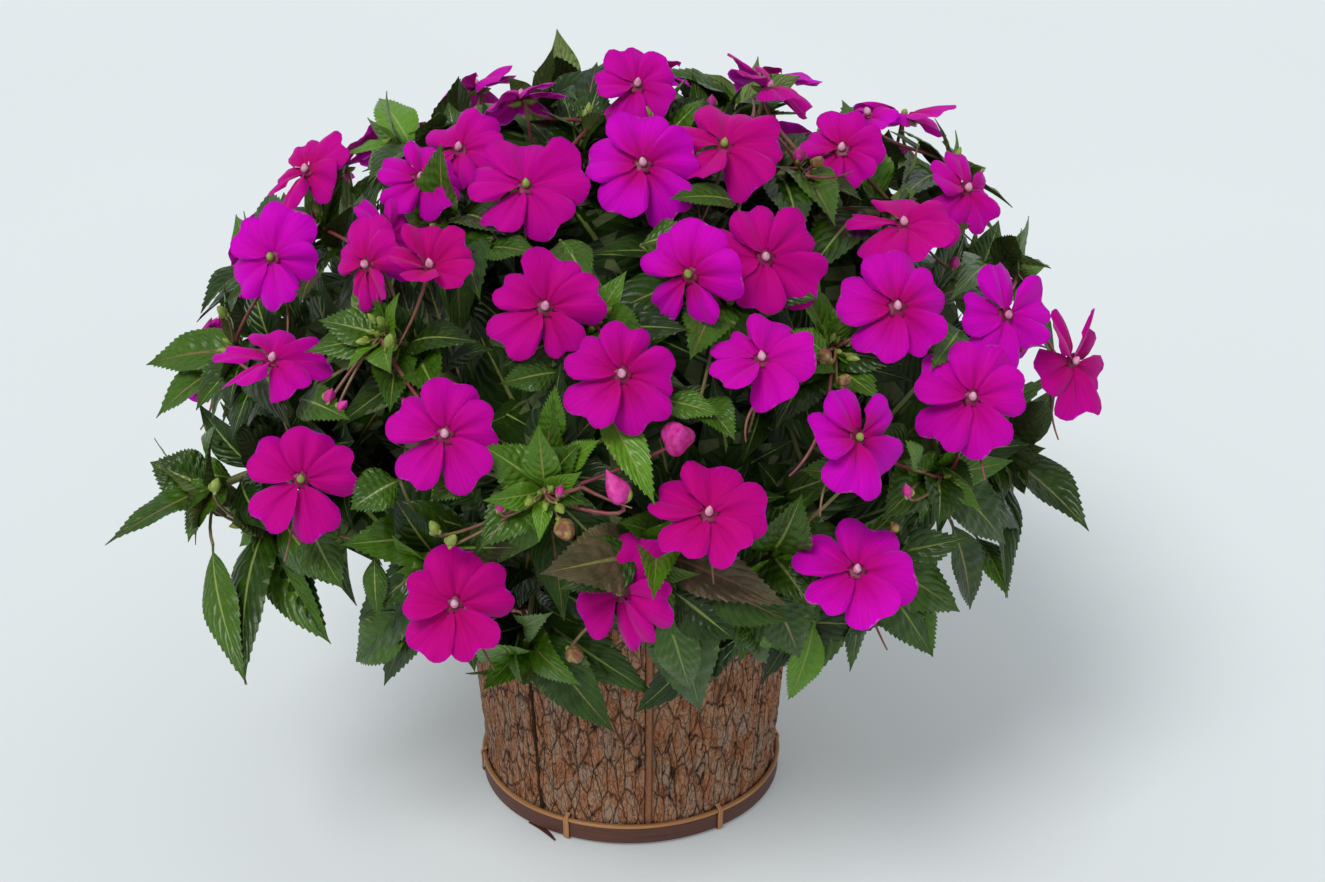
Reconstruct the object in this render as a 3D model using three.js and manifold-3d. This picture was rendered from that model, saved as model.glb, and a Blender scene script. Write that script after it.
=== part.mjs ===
// A potted New Guinea impatiens in full bloom: a mound of leafy stems and magenta blooms
// that grows from a nursery pot inside a planter of bark staves with a cane hoop.
// Millimetres, +Z up. The origin is the middle of the underside of the base disc, and the
// front of the plant faces -Y.
import * as THREE from 'three';
import { mergeVertices } from 'three/addons/utils/BufferGeometryUtils.js';
import Module from 'manifold-3d';

const wasm = await Module();
wasm.setup();

// Planter of bark staves
const PLANTER_HEIGHT = 148;
const BARK_FOOT_RADIUS = 82;
const BARK_RIM_RADIUS = 94;
const BARK_THICKNESS = 6.5;
const BARK_RELIEF = 1.1;
const STAVE_JOINT_ANGLES = [-37, 6, 58, 110, 165, 220, 272];
const STAVE_JOINT_GAP = 1.4;

// Cane hoop at the foot, with its bead, ties and loose tail
const HOOP_INNER_RADIUS = 84.5;
const HOOP_THICKNESS = 2;
const HOOP_LOW = 1.4;
const HOOP_HIGH = 11;
const BEAD_HEIGHT = 2.2;
const BEAD_THICKNESS = 2.9;
const TIE_ANGLES = [-84, -24, 36, 96, 156, 216];
const TIE_WIDTH = 5;
const TIE_THICKNESS = 0.9;
const TAIL_FROM = [531, 822];
const TAIL_TO = [554, 841];
const TAIL_WIDTH = 3.4;

// Hidden pieces that carry the plant
const DISC_THICKNESS = 8;
const NURSERY_WALL = 1.6;
const NURSERY_FOOT_RADIUS = 62;
const NURSERY_RIM_RADIUS = 78;
const NURSERY_HEIGHT = 130;
const SOIL_LEVEL = 129;
const SOIL_MOUND = 5;
const HOLE_DEPTH = 42;
const HOLE_RADIUS = 5.2;
const RIM_RING_HEIGHT = 8;
const RIM_RING_WIDTH = 4;
const RIM_RING_BELOW_TOP = 12;
const CLEARANCE = 0.4;

// Plant: the crown is an ellipsoid that the open blooms stand on
const CROWN_CENTRE = [0, 0, 259];
const CROWN_RADII = [250, 240, 163];
const SHOOT_DEPTH = 0.84;
const LEAF_THICKNESS = 0.8;
const PETAL_THICKNESS = 0.9;
const BLOOM_RADIUS = 27;
const BLOOM_EYE_RADIUS = 2.8;
const STEM_RADIUS = 3.6;
const BRANCH_RADIUS = 2.3;
const BRANCH_TAPER = 1.15;
const PEDICEL_RADIUS = 1;
const KNOB_RADIUS = 2.6;
const OUTER_STEMS = 8;
const INNER_STEMS = 4;
const OUTER_ROOT_RADIUS = 52;
const INNER_ROOT_RADIUS = 22;
const RULE_SHOOTS = 46;
const RULE_SPACING = 62;
const RULE_LOWEST = -0.6;
const RULE_LEAVES = 4;
const RULE_LEAF_REACH = 62;
const RULE_LEAF_LIFT = 14;
const RULE_LEAF_DROOP = 8;
const FAR_SPRAYS = 8;
const FAR_TOP = 350;
const FAR_FRONT = -40;
const FAR_BLOOM_LIFT = 34;
const FAR_BLOOM_SIDE = 33;

// The photograph's view. Places on the plant that it shows are given as its pixels, in a
// frame of 1325 by 882, and are laid along the line of sight onto the crown.
const PICTURE_MIDDLE = [662.5, 441];
const PICTURE_FOCAL = 2500;
const VIEW_PITCH = 25.7;
const VIEW_DISTANCE = 1490;
const PLANTER_FOOT_PIXEL = [631, 761];

const COLOURS = {
  bark: 0x7a5a4a,
  darkCane: 0x4a2a22,
  paleCane: 0xb98452,
  timber: 0xa98a62,
  nursery: 0x1c1c1e,
  soil: 0x2c211b,
  foliage: 0x3c6428,
  petal: 0xc4009c,
};

const vec = (x, y, z) => new THREE.Vector3(x, y, z);
const radians = THREE.MathUtils.degToRad;

// The same small random source everywhere, so each build gives the same plant.
function randomSource(seed) {
  let state = seed >>> 0;
  return () => {
    state = (state + 0x6d2b79f5) >>> 0;
    let mixed = state;
    mixed = Math.imul(mixed ^ (mixed >>> 15), mixed | 1);
    mixed ^= mixed + Math.imul(mixed ^ (mixed >>> 7), mixed | 61);
    return ((mixed ^ (mixed >>> 14)) >>> 0) / 4294967296;
  };
}

// Line of sight through a pixel
const viewForward = vec(0, Math.cos(radians(VIEW_PITCH)), -Math.sin(radians(VIEW_PITCH)));
const viewRight = vec(1, 0, 0);
const viewUp = viewRight.clone().cross(viewForward);

function sightLine(pixel) {
  return viewForward.clone()
    .addScaledVector(viewRight, (pixel[0] - PICTURE_MIDDLE[0]) / PICTURE_FOCAL)
    .addScaledVector(viewUp, (PICTURE_MIDDLE[1] - pixel[1]) / PICTURE_FOCAL)
    .normalize();
}

const viewPoint = sightLine(PLANTER_FOOT_PIXEL).multiplyScalar(-VIEW_DISTANCE);
const crownCentre = vec(...CROWN_CENTRE);
const crownRadii = vec(...CROWN_RADII);

// Where the line of sight through a pixel meets the crown, scaled by depth. A line that
// passes the crown gives its nearest point to it.
function crownPoint(pixel, depth = 1) {
  const sight = sightLine(pixel);
  const from = viewPoint.clone().sub(crownCentre).divide(crownRadii);
  const along = sight.clone().divide(crownRadii);
  const a = along.dot(along);
  const b = from.dot(along);
  const reach = b * b - a * (from.dot(from) - depth * depth);
  const step = (-b - Math.sqrt(Math.max(reach, 0))) / a;
  return viewPoint.clone().addScaledVector(sight, step);
}

function floorPoint(pixel) {
  const sight = sightLine(pixel);
  return viewPoint.clone().addScaledVector(sight, -viewPoint.z / sight.z);
}

function crownNormal(point) {
  return point.clone().sub(crownCentre).divide(crownRadii).divide(crownRadii).normalize();
}

// A direction given as seen in the photograph: right, up and towards the viewer.
function facing(point, [right, up, towards = 1]) {
  const toViewer = viewPoint.clone().sub(point).normalize();
  const across = viewUp.clone().cross(toViewer).normalize();
  const above = toViewer.clone().cross(across);
  return across.multiplyScalar(right)
    .addScaledVector(above, up)
    .addScaledVector(toViewer, towards)
    .normalize();
}

// Entries of the table below. A leaf is told by its tip and its width in millimetres, a
// bloom by its eye, its radius and the way it faces, a bud by its place and length.
const leaf = (tip, wide, more = {}) => ({ tip, wide, ...more });
const bloom = (eye, radius, face, more = {}) => ({ eye, radius, face, ...more });
const bud = (at, size, face) => ({ at, size, face });

// The shoots that the photograph shows: the growing tip, then its leaves and blooms.
const SHOWN_SHOOTS = [
  {
    at: [410, 150],
    leaves: [leaf([379, 98], 20), leaf([345, 155], 18), leaf([368, 182], 18), leaf([440, 112], 18)],
    blooms: [
      bloom([420, 180], 22, [0.2, 0.5]),
      bloom([460, 150], 24, [-0.6, 0.7], { back: 20, form: 'plain' }),
    ],
  },
  {
    at: [325, 238],
    leaves: [leaf([343, 160], 14), leaf([222, 305], 20), leaf([300, 305], 22), leaf([352, 205], 18)],
    blooms: [
      bloom([307, 172], 24, [-0.9, 0.8], { form: 'plain' }),
      bloom([368, 265], 23, [-1.1, 0], { form: 'plain' }),
    ],
  },
  {
    at: [447, 222],
    leaves: [leaf([441, 143], 22), leaf([480, 300], 30), leaf([505, 235], 24)],
    blooms: [
      bloom([388, 237], 22, [0.9, 0.5], { back: 14, form: 'plain' }),
      bloom([429, 270], 20, [0.1, 0.9], { cup: 0.75, form: 'plain' }),
    ],
  },
  {
    at: [585, 140],
    leaves: [leaf([600, 84], 22), leaf([597, 62], 20), leaf([562, 92], 20), leaf([612, 112], 20)],
    blooms: [
      bloom([526, 187], 29, [0, 0.6]),
      bloom([522, 98], 22, [-0.3, 1, -0.25], { form: 'plain' }),
    ],
  },
  {
    at: [655, 140],
    leaves: [leaf([668, 218], 26), leaf([705, 98], 20)],
    blooms: [bloom([637, 86], 22, [0.1, 0.6], { form: 'plain' }), bloom([643, 165], 28, [0, 0.4])],
  },
  {
    at: [792, 172],
    leaves: [leaf([835, 226], 24), leaf([862, 200], 22), leaf([800, 240], 24)],
    blooms: [
      bloom([724, 147], 30, [0, 0.95]),
      bloom([768, 88], 27, [0.5, 1, 0.2], { back: 16, form: 'plain' }),
    ],
  },
  {
    at: [880, 212],
    leaves: [leaf([836, 122], 27), leaf([842, 100], 22), leaf([800, 285], 26)],
    blooms: [
      bloom([842, 150], 22, [-0.2, 0.5], { back: 10, form: 'plain' }),
      bloom([904, 226], 28, [0.1, 1, 0.7]),
    ],
  },
  {
    at: [948, 178],
    leaves: [leaf([900, 130], 24), leaf([898, 202], 24), leaf([950, 262], 24)],
    blooms: [
      bloom([868, 116], 20, [-0.1, 1, 0.25], { form: 'plain' }),
      bloom([966, 190], 22, [0.9, 0.5], { form: 'plain' }),
    ],
  },
  {
    at: [1003, 272],
    leaves: [leaf([1051, 268], 20), leaf([1016, 236], 18), leaf([1040, 330], 22), leaf([950, 300], 24)],
    blooms: [bloom([1006, 316], 26, [0.7, 0.1]), bloom([1072, 362], 28, [1.8, 0.1], { form: 'plain' })],
  },
  {
    at: [250, 352],
    leaves: [
      leaf([146, 365], 24), leaf([156, 418], 26), leaf([196, 410], 27), leaf([290, 428], 26),
      leaf([232, 440], 24),
    ],
    blooms: [bloom([272, 258], 26, [-0.5, 0.1]), bloom([272, 362], 27, [-0.1, 1.7], { form: 'plain' })],
  },
  {
    at: [390, 338],
    leaves: [
      leaf([318, 320], 22), leaf([304, 352], 20), leaf([390, 412], 20), leaf([476, 342], 20),
      leaf([372, 300], 18), leaf([440, 400], 24),
    ],
    blooms: [bloom([445, 435], 26, [-0.1, 0.1])],
  },
  {
    at: [210, 490],
    leaves: [
      leaf([150, 462], 28), leaf([216, 424], 18), leaf([105, 545], 22), leaf([188, 542], 28),
      leaf([173, 470], 16),
    ],
  },
  {
    at: [268, 520],
    leaves: [leaf([245, 685], 28), leaf([330, 643], 30), leaf([342, 588], 24)],
    blooms: [bloom([301, 480], 28, [-0.1, 0])],
  },
  {
    at: [590, 330],
    leaves: [leaf([650, 345], 24), leaf([500, 368], 24), leaf([690, 330], 24)],
    blooms: [bloom([545, 308], 26, [0, 0.2]), bloom([622, 375], 27, [0, 0.1])],
  },
  {
    at: [722, 300],
    leaves: [leaf([690, 360], 24), leaf([820, 300], 26), leaf([650, 245], 24)],
    blooms: [bloom([690, 275], 25, [-0.4, 0]), bloom([765, 258], 28, [0.2, 0.1])],
  },
  {
    at: [826, 352],
    leaves: [leaf([902, 364], 22), leaf([842, 318], 14), leaf([776, 428], 24), leaf([880, 400], 24)],
    blooms: [bloom([762, 360], 26, [0, 0.7]), bloom([897, 308], 28, [0.2, 0.3])],
  },
  {
    at: [545, 490],
    leaves: [
      leaf([482, 445], 22), leaf([580, 444], 18), leaf([586, 505], 18), leaf([480, 548], 24),
      leaf([554, 400], 16), leaf([540, 540], 18),
    ],
    blooms: [],
    buds: [bud([615, 487], 19, [-0.4, 0.8, 0.3]), bud([679, 436], 25, [0.2, 0.3])],
  },
  {
    at: [935, 472],
    leaves: [
      leaf([938, 526], 24), leaf([882, 520], 26), leaf([1006, 545], 28), leaf([975, 490], 16),
      leaf([932, 436], 14), leaf([1020, 530], 30),
    ],
    blooms: [bloom([972, 398], 27, [0.1, 0.1]), bloom([857, 438], 27, [0.9, 0.1])],
  },
  {
    at: [1000, 452],
    leaves: [leaf([1089, 531], 30), leaf([1046, 400], 20), leaf([1038, 462], 20), leaf([1006, 598], 26)],
  },
  {
    at: [652, 556],
    leaves: [
      leaf([540, 574], 32), leaf([788, 606], 24), leaf([653, 600], 18), leaf([700, 712], 34),
      leaf([618, 522], 16),
    ],
    blooms: [bloom([621, 592], 28, [-0.3, -0.2]), bloom([709, 515], 28, [0, 0.55])],
  },
  {
    at: [770, 556],
    leaves: [leaf([802, 494], 26), leaf([810, 606], 26), leaf([798, 658], 30), leaf([740, 662], 28)],
  },
  {
    at: [868, 560],
    leaves: [
      leaf([967, 538], 24), leaf([933, 657], 28), leaf([850, 672], 18), leaf([960, 612], 28),
      leaf([792, 698], 26), leaf([760, 684], 24),
    ],
    blooms: [bloom([857, 572], 29, [0, 0.4])],
  },
  {
    at: [528, 650],
    leaves: [
      leaf([466, 635], 20), leaf([483, 690], 18), leaf([522, 682], 12), leaf([582, 686], 20),
      leaf([615, 733], 28), leaf([553, 612], 14), leaf([655, 695], 24),
    ],
  },
  {
    at: [440, 560],
    leaves: [
      leaf([356, 660], 28), leaf([384, 686], 24), leaf([520, 548], 22), leaf([372, 610], 22),
      leaf([475, 672], 28), leaf([340, 545], 28),
    ],
    blooms: [bloom([455, 605], 27, [-0.1, 0])],
  },
];

// Closed solids from points and triangles

function manifoldOf(points, triangles) {
  const places = new Float32Array(points.length * 3);
  points.forEach((point, index) => places.set([point.x, point.y, point.z], index * 3));
  const corners = new Uint32Array(triangles.flat());
  return new wasm.Manifold(new wasm.Mesh({ numProp: 3, vertProperties: places, triVerts: corners }));
}

function manifoldOfGeometry(source) {
  const bare = source.clone();
  for (const name of Object.keys(bare.attributes)) {
    if (name !== 'position') bare.deleteAttribute(name);
  }
  const merged = mergeVertices(bare, 1e-3);
  const places = merged.getAttribute('position');
  const corners = merged.getIndex();
  const points = [];
  for (let index = 0; index < places.count; index += 1) {
    points.push(vec(places.getX(index), places.getY(index), places.getZ(index)));
  }
  const triangles = [];
  for (let index = 0; index < corners.count; index += 3) {
    const triangle = [corners.getX(index), corners.getX(index + 1), corners.getX(index + 2)];
    if (new Set(triangle).size === 3) triangles.push(triangle);
  }
  return manifoldOf(points, triangles);
}

function geometryOf(solid) {
  const mesh = solid.getMesh();
  const places = new Float32Array(mesh.numVert * 3);
  for (let index = 0; index < mesh.numVert; index += 1) {
    for (let axis = 0; axis < 3; axis += 1) {
      places[index * 3 + axis] = mesh.vertProperties[index * mesh.numProp + axis];
    }
  }
  const geometry = new THREE.BufferGeometry();
  geometry.setAttribute('position', new THREE.BufferAttribute(places, 3));
  geometry.setIndex(new THREE.BufferAttribute(new Uint32Array(mesh.triVerts), 1));
  geometry.computeVertexNormals();
  return geometry;
}

// Two like sheets of points, joined round their open edge.
function slab(upper, lower, faces) {
  const shift = upper.length;
  const triangles = faces.map((face) => [...face]);
  faces.forEach(([a, b, c]) => triangles.push([shift + c, shift + b, shift + a]));
  const edges = new Set(faces.flatMap(([a, b, c]) => [`${a},${b}`, `${b},${c}`, `${c},${a}`]));
  for (const edge of edges) {
    const [a, b] = edge.split(',').map(Number);
    if (!edges.has(`${b},${a}`)) {
      triangles.push([a, shift + a, shift + b]);
      triangles.push([a, shift + b, b]);
    }
  }
  return manifoldOf([...upper, ...lower], triangles);
}

// A tapering round stem of few sides along a line of points.
function stalkMesh(line, sides, fromRadius, toRadius, firstSide = null) {
  const points = [];
  const steps = line.length - 1;
  let side = firstSide ?? vec(0.3, 0.9, 0.2).cross(line[1].clone().sub(line[0])).normalize();
  for (let step = 0; step <= steps; step += 1) {
    const before = line[Math.max(step - 1, 0)];
    const after = line[Math.min(step + 1, steps)];
    const tangent = after.clone().sub(before).normalize();
    const other = tangent.clone().cross(side).normalize();
    side = other.clone().cross(tangent).normalize();
    const radius = THREE.MathUtils.lerp(fromRadius, toRadius, step / steps);
    for (let turn = 0; turn < sides; turn += 1) {
      const angle = turn / sides * Math.PI * 2;
      points.push(line[step].clone()
        .addScaledVector(side, Math.cos(angle) * radius)
        .addScaledVector(other, Math.sin(angle) * radius));
    }
  }
  const triangles = [];
  for (let step = 0; step < steps; step += 1) {
    for (let turn = 0; turn < sides; turn += 1) {
      const a = step * sides + turn;
      const b = step * sides + (turn + 1) % sides;
      triangles.push([a, b, b + sides]);
      triangles.push([a, b + sides, a + sides]);
    }
  }
  const last = steps * sides;
  for (let turn = 1; turn < sides - 1; turn += 1) {
    triangles.push([0, turn + 1, turn]);
    triangles.push([last, last + turn, last + turn + 1]);
  }
  return { points, triangles };
}

function stalk(...form) {
  const { points, triangles } = stalkMesh(...form);
  return manifoldOf(points, triangles);
}

// A leaf blade: a folded sheet with a midrib, waved along both edges. It grows from one
// triangle of the stem's skin, its seat, whose corners it shares.
const LEAF_STATIONS = {
  large: [[0.26, 0.78, 1], [0.54, 1, -1], [0.8, 0.58, 1]],
  plain: [[0.32, 0.92, 1], [0.68, 0.84, -1]],
};
const LEAF_FOLD = 0.24;
const LEAF_WAVE = 1.3;

// The blade's own points, those of its upper face first, in rows of right, middle, left.
function bladePoints(blade, thickness) {
  const { base, tip, up, fold, wide, arch, stations } = blade;
  const along = tip.clone().sub(base);
  const length = along.length();
  const left = up.clone().cross(along).normalize();
  const face = along.normalize().cross(left);
  const bend = base.clone().lerp(tip, 0.45).addScaledVector(face, fold * arch * length);
  const rib = new THREE.QuadraticBezierCurve3(base, bend, tip);
  const sheet = [];
  for (const [place, width, wave] of LEAF_STATIONS[stations]) {
    const half = width * wide / 2;
    const rise = fold * half * LEAF_FOLD;
    for (const edge of [-1, 0, 1]) {
      const lift = edge === 0 ? 0 : rise + edge * wave * LEAF_WAVE;
      sheet.push(rib.getPoint(place).addScaledVector(left, edge * half).addScaledVector(face, lift));
    }
  }
  sheet.push(tip.clone());
  const shifted = (amount) => sheet.map((point) => point.clone().addScaledVector(face, amount / 2));
  return [...shifted(thickness), ...shifted(-thickness)];
}

// Its triangles, with the seat's corners as numbers and its own points counted from first.
function bladeTriangles(seat, first, rows) {
  const count = rows * 3 + 1;
  const top = (row, edge) => first + row * 3 + edge;
  const under = (row, edge) => top(row, edge) + count;
  const tip = first + count - 1;
  const { right, left, rightUnder, leftUnder } = seat;
  const faces = [[right, top(0, 0), top(0, 1)], [left, top(0, 1), top(0, 2)]];
  faces.push([rightUnder, under(0, 1), under(0, 0)], [leftUnder, under(0, 2), under(0, 1)]);
  if (right !== left) faces.push([right, top(0, 1), left]);
  if (rightUnder !== leftUnder) faces.push([rightUnder, leftUnder, under(0, 1)]);
  faces.push([right, rightUnder, under(0, 0)], [right, under(0, 0), top(0, 0)]);
  faces.push([top(0, 2), under(0, 2), leftUnder], [top(0, 2), leftUnder, left]);
  for (let row = 0; row < rows; row += 1) {
    const ends = row === rows - 1;
    const [r, m, l] = [top(row, 0), top(row, 1), top(row, 2)];
    const [ru, mu, lu] = [under(row, 0), under(row, 1), under(row, 2)];
    if (ends) {
      faces.push([r, tip, m], [m, tip, l], [mu, tip + count, ru], [lu, tip + count, mu]);
      faces.push([r, ru, tip + count], [r, tip + count, tip]);
      faces.push([tip, tip + count, lu], [tip, lu, l]);
    } else {
      const [r2, m2, l2] = [top(row + 1, 0), top(row + 1, 1), top(row + 1, 2)];
      const [ru2, mu2, lu2] = [under(row + 1, 0), under(row + 1, 1), under(row + 1, 2)];
      faces.push([r, r2, m2], [r, m2, m], [m, m2, l], [m2, l2, l]);
      faces.push([ru, mu2, ru2], [ru, mu, mu2], [mu, lu, mu2], [mu2, lu, lu2]);
      faces.push([r, ru, ru2], [r, ru2, r2], [l2, lu2, lu], [l2, lu, l]);
    }
  }
  return faces;
}

// The free triangles of a shoot's last bands, as seats: with two corners above and one
// below, or one above and two below.
function seatOf([a, b, c], isUpper) {
  return isUpper ? { left: b, right: c, rightUnder: a, leftUnder: a }
    : { left: c, right: c, rightUnder: a, leftUnder: b };
}

function leafSolid(blade, seatPoints, isUpper, thickness) {
  const own = bladePoints(blade, thickness);
  const rows = LEAF_STATIONS[blade.stations].length;
  const triangles = bladeTriangles(seatOf([0, 1, 2], isUpper), 3, rows);
  triangles.push([0, 2, 1]);
  return manifoldOf([...seatPoints, ...own], triangles);
}

// A bloom: five heart-shaped petals set like a pinwheel, each with one side over its
// neighbour, round an eye with a raised cap. Its stalk grows out of the neck behind it.
const PETALS = 5;
const CAP_RISE = 3.8;
const NECK_DEPTH = 5;
const PETAL_FORMS = {
  full: {
    outline: [[0.6, -0.5, -1.6], [0.96, -0.3, -1.2], [0.93, 0, 0], [0.96, 0.3, 1.2], [0.6, 0.5, 1.6]],
    faces: [[0, 1, 3], [1, 2, 3], [0, 3, 6], [3, 5, 6], [3, 4, 5]],
  },
  plain: {
    outline: [[0.82, -0.53, -1.4], [0.92, 0, 0], [0.82, 0.53, 1.4]],
    faces: [[0, 1, 2], [0, 2, 4], [2, 3, 4]],
  },
};
// Which corner of the three-sided neck each side of the five-sided hub meets, and the hub
// corners where one neck corner gives way to the next
const NECK_OF_SIDE = [0, 1, 1, 2, 2];
const NECK_CHANGES = [[1, 0, 1], [3, 1, 2], [0, 2, 0]];

function bloomSolid(flower, stalkLine, extra = 0) {
  const { eye, normal, radius, spin, cup, form } = flower;
  const across = Math.abs(normal.z) < 0.9 ? vec(0, 0, 1).cross(normal).normalize()
    : vec(0, 1, 0).cross(normal).normalize();
  const above = normal.clone().cross(across);
  const half = (PETAL_THICKNESS + extra) / 2;
  const points = [];
  const outward = (angle) => across.clone().multiplyScalar(Math.cos(angle))
    .addScaledVector(above, Math.sin(angle));
  const place = (out, angle, height) => {
    const lift = height + cup * Math.max(out - BLOOM_EYE_RADIUS, 0);
    points.push(eye.clone().addScaledVector(outward(angle), out).addScaledVector(normal, lift));
    return points.length - 1;
  };
  const sector = Math.PI * 2 / PETALS;
  const tops = [];
  const middles = [];
  const bottoms = [];
  for (let turn = 0; turn < PETALS; turn += 1) {
    const angle = spin + (turn - 0.5) * sector;
    tops.push(place(BLOOM_EYE_RADIUS, angle, half * 2));
    middles.push(place(BLOOM_EYE_RADIUS, angle, 0));
    bottoms.push(place(BLOOM_EYE_RADIUS, angle, -half * 2));
  }
  const cap = place(0, 0, CAP_RISE);
  const triangles = [];
  const neckRadius = PEDICEL_RADIUS + extra / 2;
  const tube = stalkMesh(stalkLine, 3, neckRadius, neckRadius, outward(spin));
  const neck = [0, 2, 1].map((corner) => points.length + corner);
  const openEnd = tube.triangles.length - 2;
  tube.triangles.forEach((triangle, index) => {
    if (index !== openEnd) triangles.push(triangle.map((corner) => points.length + corner));
  });
  points.push(...tube.points);
  NECK_CHANGES.forEach(([corner, before, after]) => {
    triangles.push([bottoms[corner], neck[before], neck[after]]);
  });
  for (let turn = 0; turn < PETALS; turn += 1) {
    const next = (turn + 1) % PETALS;
    triangles.push([cap, tops[turn], tops[next]]);
    triangles.push([bottoms[turn], neck[NECK_OF_SIDE[turn]], bottoms[next]]);
    triangles.push([tops[turn], middles[turn], tops[next]]);
    triangles.push([middles[next], bottoms[turn], bottoms[next]]);
    const axis = spin + turn * sector;
    const pair = ([out, side, height]) => {
      const reach = Math.hypot(out, side) * radius;
      const angle = axis + Math.atan2(side, out);
      return [place(reach, angle, height + half), place(reach, angle, height - half)];
    };
    const { outline, faces } = PETAL_FORMS[form];
    const rim = [[middles[turn], bottoms[turn]], ...outline.map(pair), [tops[next], middles[next]]];
    for (const [a, b, c] of faces) {
      triangles.push([rim[a][0], rim[b][0], rim[c][0]], [rim[a][1], rim[c][1], rim[b][1]]);
    }
    for (let index = 1; index < rim.length; index += 1) {
      const [top, bottom] = rim[index - 1];
      const [nextTop, nextBottom] = rim[index];
      triangles.push([top, bottom, nextBottom], [top, nextBottom, nextTop]);
    }
  }
  return manifoldOf(points, triangles);
}

// A closed bud: a pointed six-sided body.
function budSolid({ centre, normal, size }) {
  const low = centre.clone().addScaledVector(normal, -size / 2);
  const high = centre.clone().addScaledVector(normal, size / 2);
  const waist = size * 0.32;
  return stalk([low, centre], 5, size * 0.1, waist).add(stalk([centre, high], 5, waist, size * 0.06));
}

// Placing with room: each new solid is tried in a few bends until it is clear of every
// solid of the other nodes that already stands.
const placed = [];
const OVERLAP_LIMIT = 0.002;
const KIN_LIMIT = 0.4;

function boxesMeet(one, other) {
  for (let axis = 0; axis < 3; axis += 1) {
    if (one.min[axis] > other.max[axis] || other.min[axis] > one.max[axis]) return false;
  }
  return true;
}

// Leaves also keep clear of the leaves and branches of their own node.
function isClear(node, guard, kind = '') {
  const box = guard.boundingBox();
  for (const item of placed) {
    const own = item.node === node;
    if (own && (kind !== 'leaf' || item.kind === '')) continue;
    if (!boxesMeet(box, item.box)) continue;
    const shared = guard.intersect(item.solid);
    const amount = shared.volume();
    shared.delete();
    if (amount > (own ? KIN_LIMIT : OVERLAP_LIMIT)) return false;
  }
  return true;
}

function keep(node, solid, kind = '') {
  placed.push({ node, solid, kind, box: solid.boundingBox() });
}

// The makers get each variant in turn and give back a solid and its thicker guard. Among
// its own node's pieces only the solid itself is tried.
function placeWithRoom(node, variants, make, kind = '') {
  for (const variant of variants) {
    const made = make(variant);
    const clear = isClear(node, made.guard, kind);
    made.guard.delete();
    if (clear) {
      keep(node, made.solid, kind);
      return { ...made, variant };
    }
    made.solid.delete();
  }
  return null;
}

const group = new THREE.Group();

function addMesh(name, geometry, colour, roughness = 0.7) {
  const material = new THREE.MeshStandardMaterial({ color: colour, roughness, metalness: 0 });
  const mesh = new THREE.Mesh(geometry, material);
  mesh.name = name;
  group.add(mesh);
  return mesh;
}

// A ring or cup turned about the planter's axis, from its outline as radius and height.
function turned(outline, segments) {
  const geometry = new THREE.LatheGeometry(outline.map(([r, z]) => new THREE.Vector2(r, z)), segments);
  geometry.rotateX(Math.PI / 2);
  return geometry;
}

// Bark staves, with furrows raised by a formula
const barkRadius = (z) => THREE.MathUtils.lerp(BARK_FOOT_RADIUS, BARK_RIM_RADIUS, z / PLANTER_HEIGHT);
const STAVE_COLUMNS = 6;
const STAVE_ROWS = 3;

function staveSolid(from, to, index) {
  const outside = [];
  const inside = [];
  const gap = STAVE_JOINT_GAP / 2 / BARK_FOOT_RADIUS;
  const start = radians(from) + gap;
  const end = radians(to) - gap;
  for (let row = 0; row <= STAVE_ROWS; row += 1) {
    for (let column = 0; column <= STAVE_COLUMNS; column += 1) {
      const angle = THREE.MathUtils.lerp(start, end, column / STAVE_COLUMNS) - Math.PI / 2;
      const ragged = 2.5 * Math.sin(column * 2.1 + index * 1.7);
      const top = PLANTER_HEIGHT - 3 + ragged;
      const z = top * row / STAVE_ROWS;
      const furrow = (column % 2 ? -1 : 1) * (0.55 + 0.45 * Math.sin(row * 1.9 + column + index));
      const fade = row === 0 ? 0.5 : 1;
      const radius = barkRadius(z) + BARK_RELIEF * furrow * fade;
      outside.push(vec(Math.cos(angle) * radius, Math.sin(angle) * radius, z));
      const inner = barkRadius(z) - BARK_THICKNESS;
      inside.push(vec(Math.cos(angle) * inner, Math.sin(angle) * inner, z));
    }
  }
  const faces = [];
  const width = STAVE_COLUMNS + 1;
  for (let row = 0; row < STAVE_ROWS; row += 1) {
    for (let column = 0; column < STAVE_COLUMNS; column += 1) {
      const a = row * width + column;
      faces.push([a, a + 1, a + width + 1], [a, a + width + 1, a + width]);
    }
  }
  return slab(outside, inside, faces);
}

STAVE_JOINT_ANGLES.forEach((from, index) => {
  const next = STAVE_JOINT_ANGLES[(index + 1) % STAVE_JOINT_ANGLES.length];
  const to = next > from ? next : next + 360;
  const solid = staveSolid(from, to, index);
  addMesh(`bark_stave_${index + 1}`, geometryOf(solid), COLOURS.bark, 0.9);
});

// Cane hoop: strip, bead, ties and loose tail
const HOOP_SEGMENTS = 26;
const hoopOuterRadius = HOOP_INNER_RADIUS + HOOP_THICKNESS;
addMesh('hoop_strip', turned([
  [HOOP_INNER_RADIUS, HOOP_LOW],
  [hoopOuterRadius, HOOP_LOW],
  [hoopOuterRadius, HOOP_HIGH],
  [HOOP_INNER_RADIUS, HOOP_HIGH],
  [HOOP_INNER_RADIUS, HOOP_LOW],
], HOOP_SEGMENTS), COLOURS.darkCane, 0.5);

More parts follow.
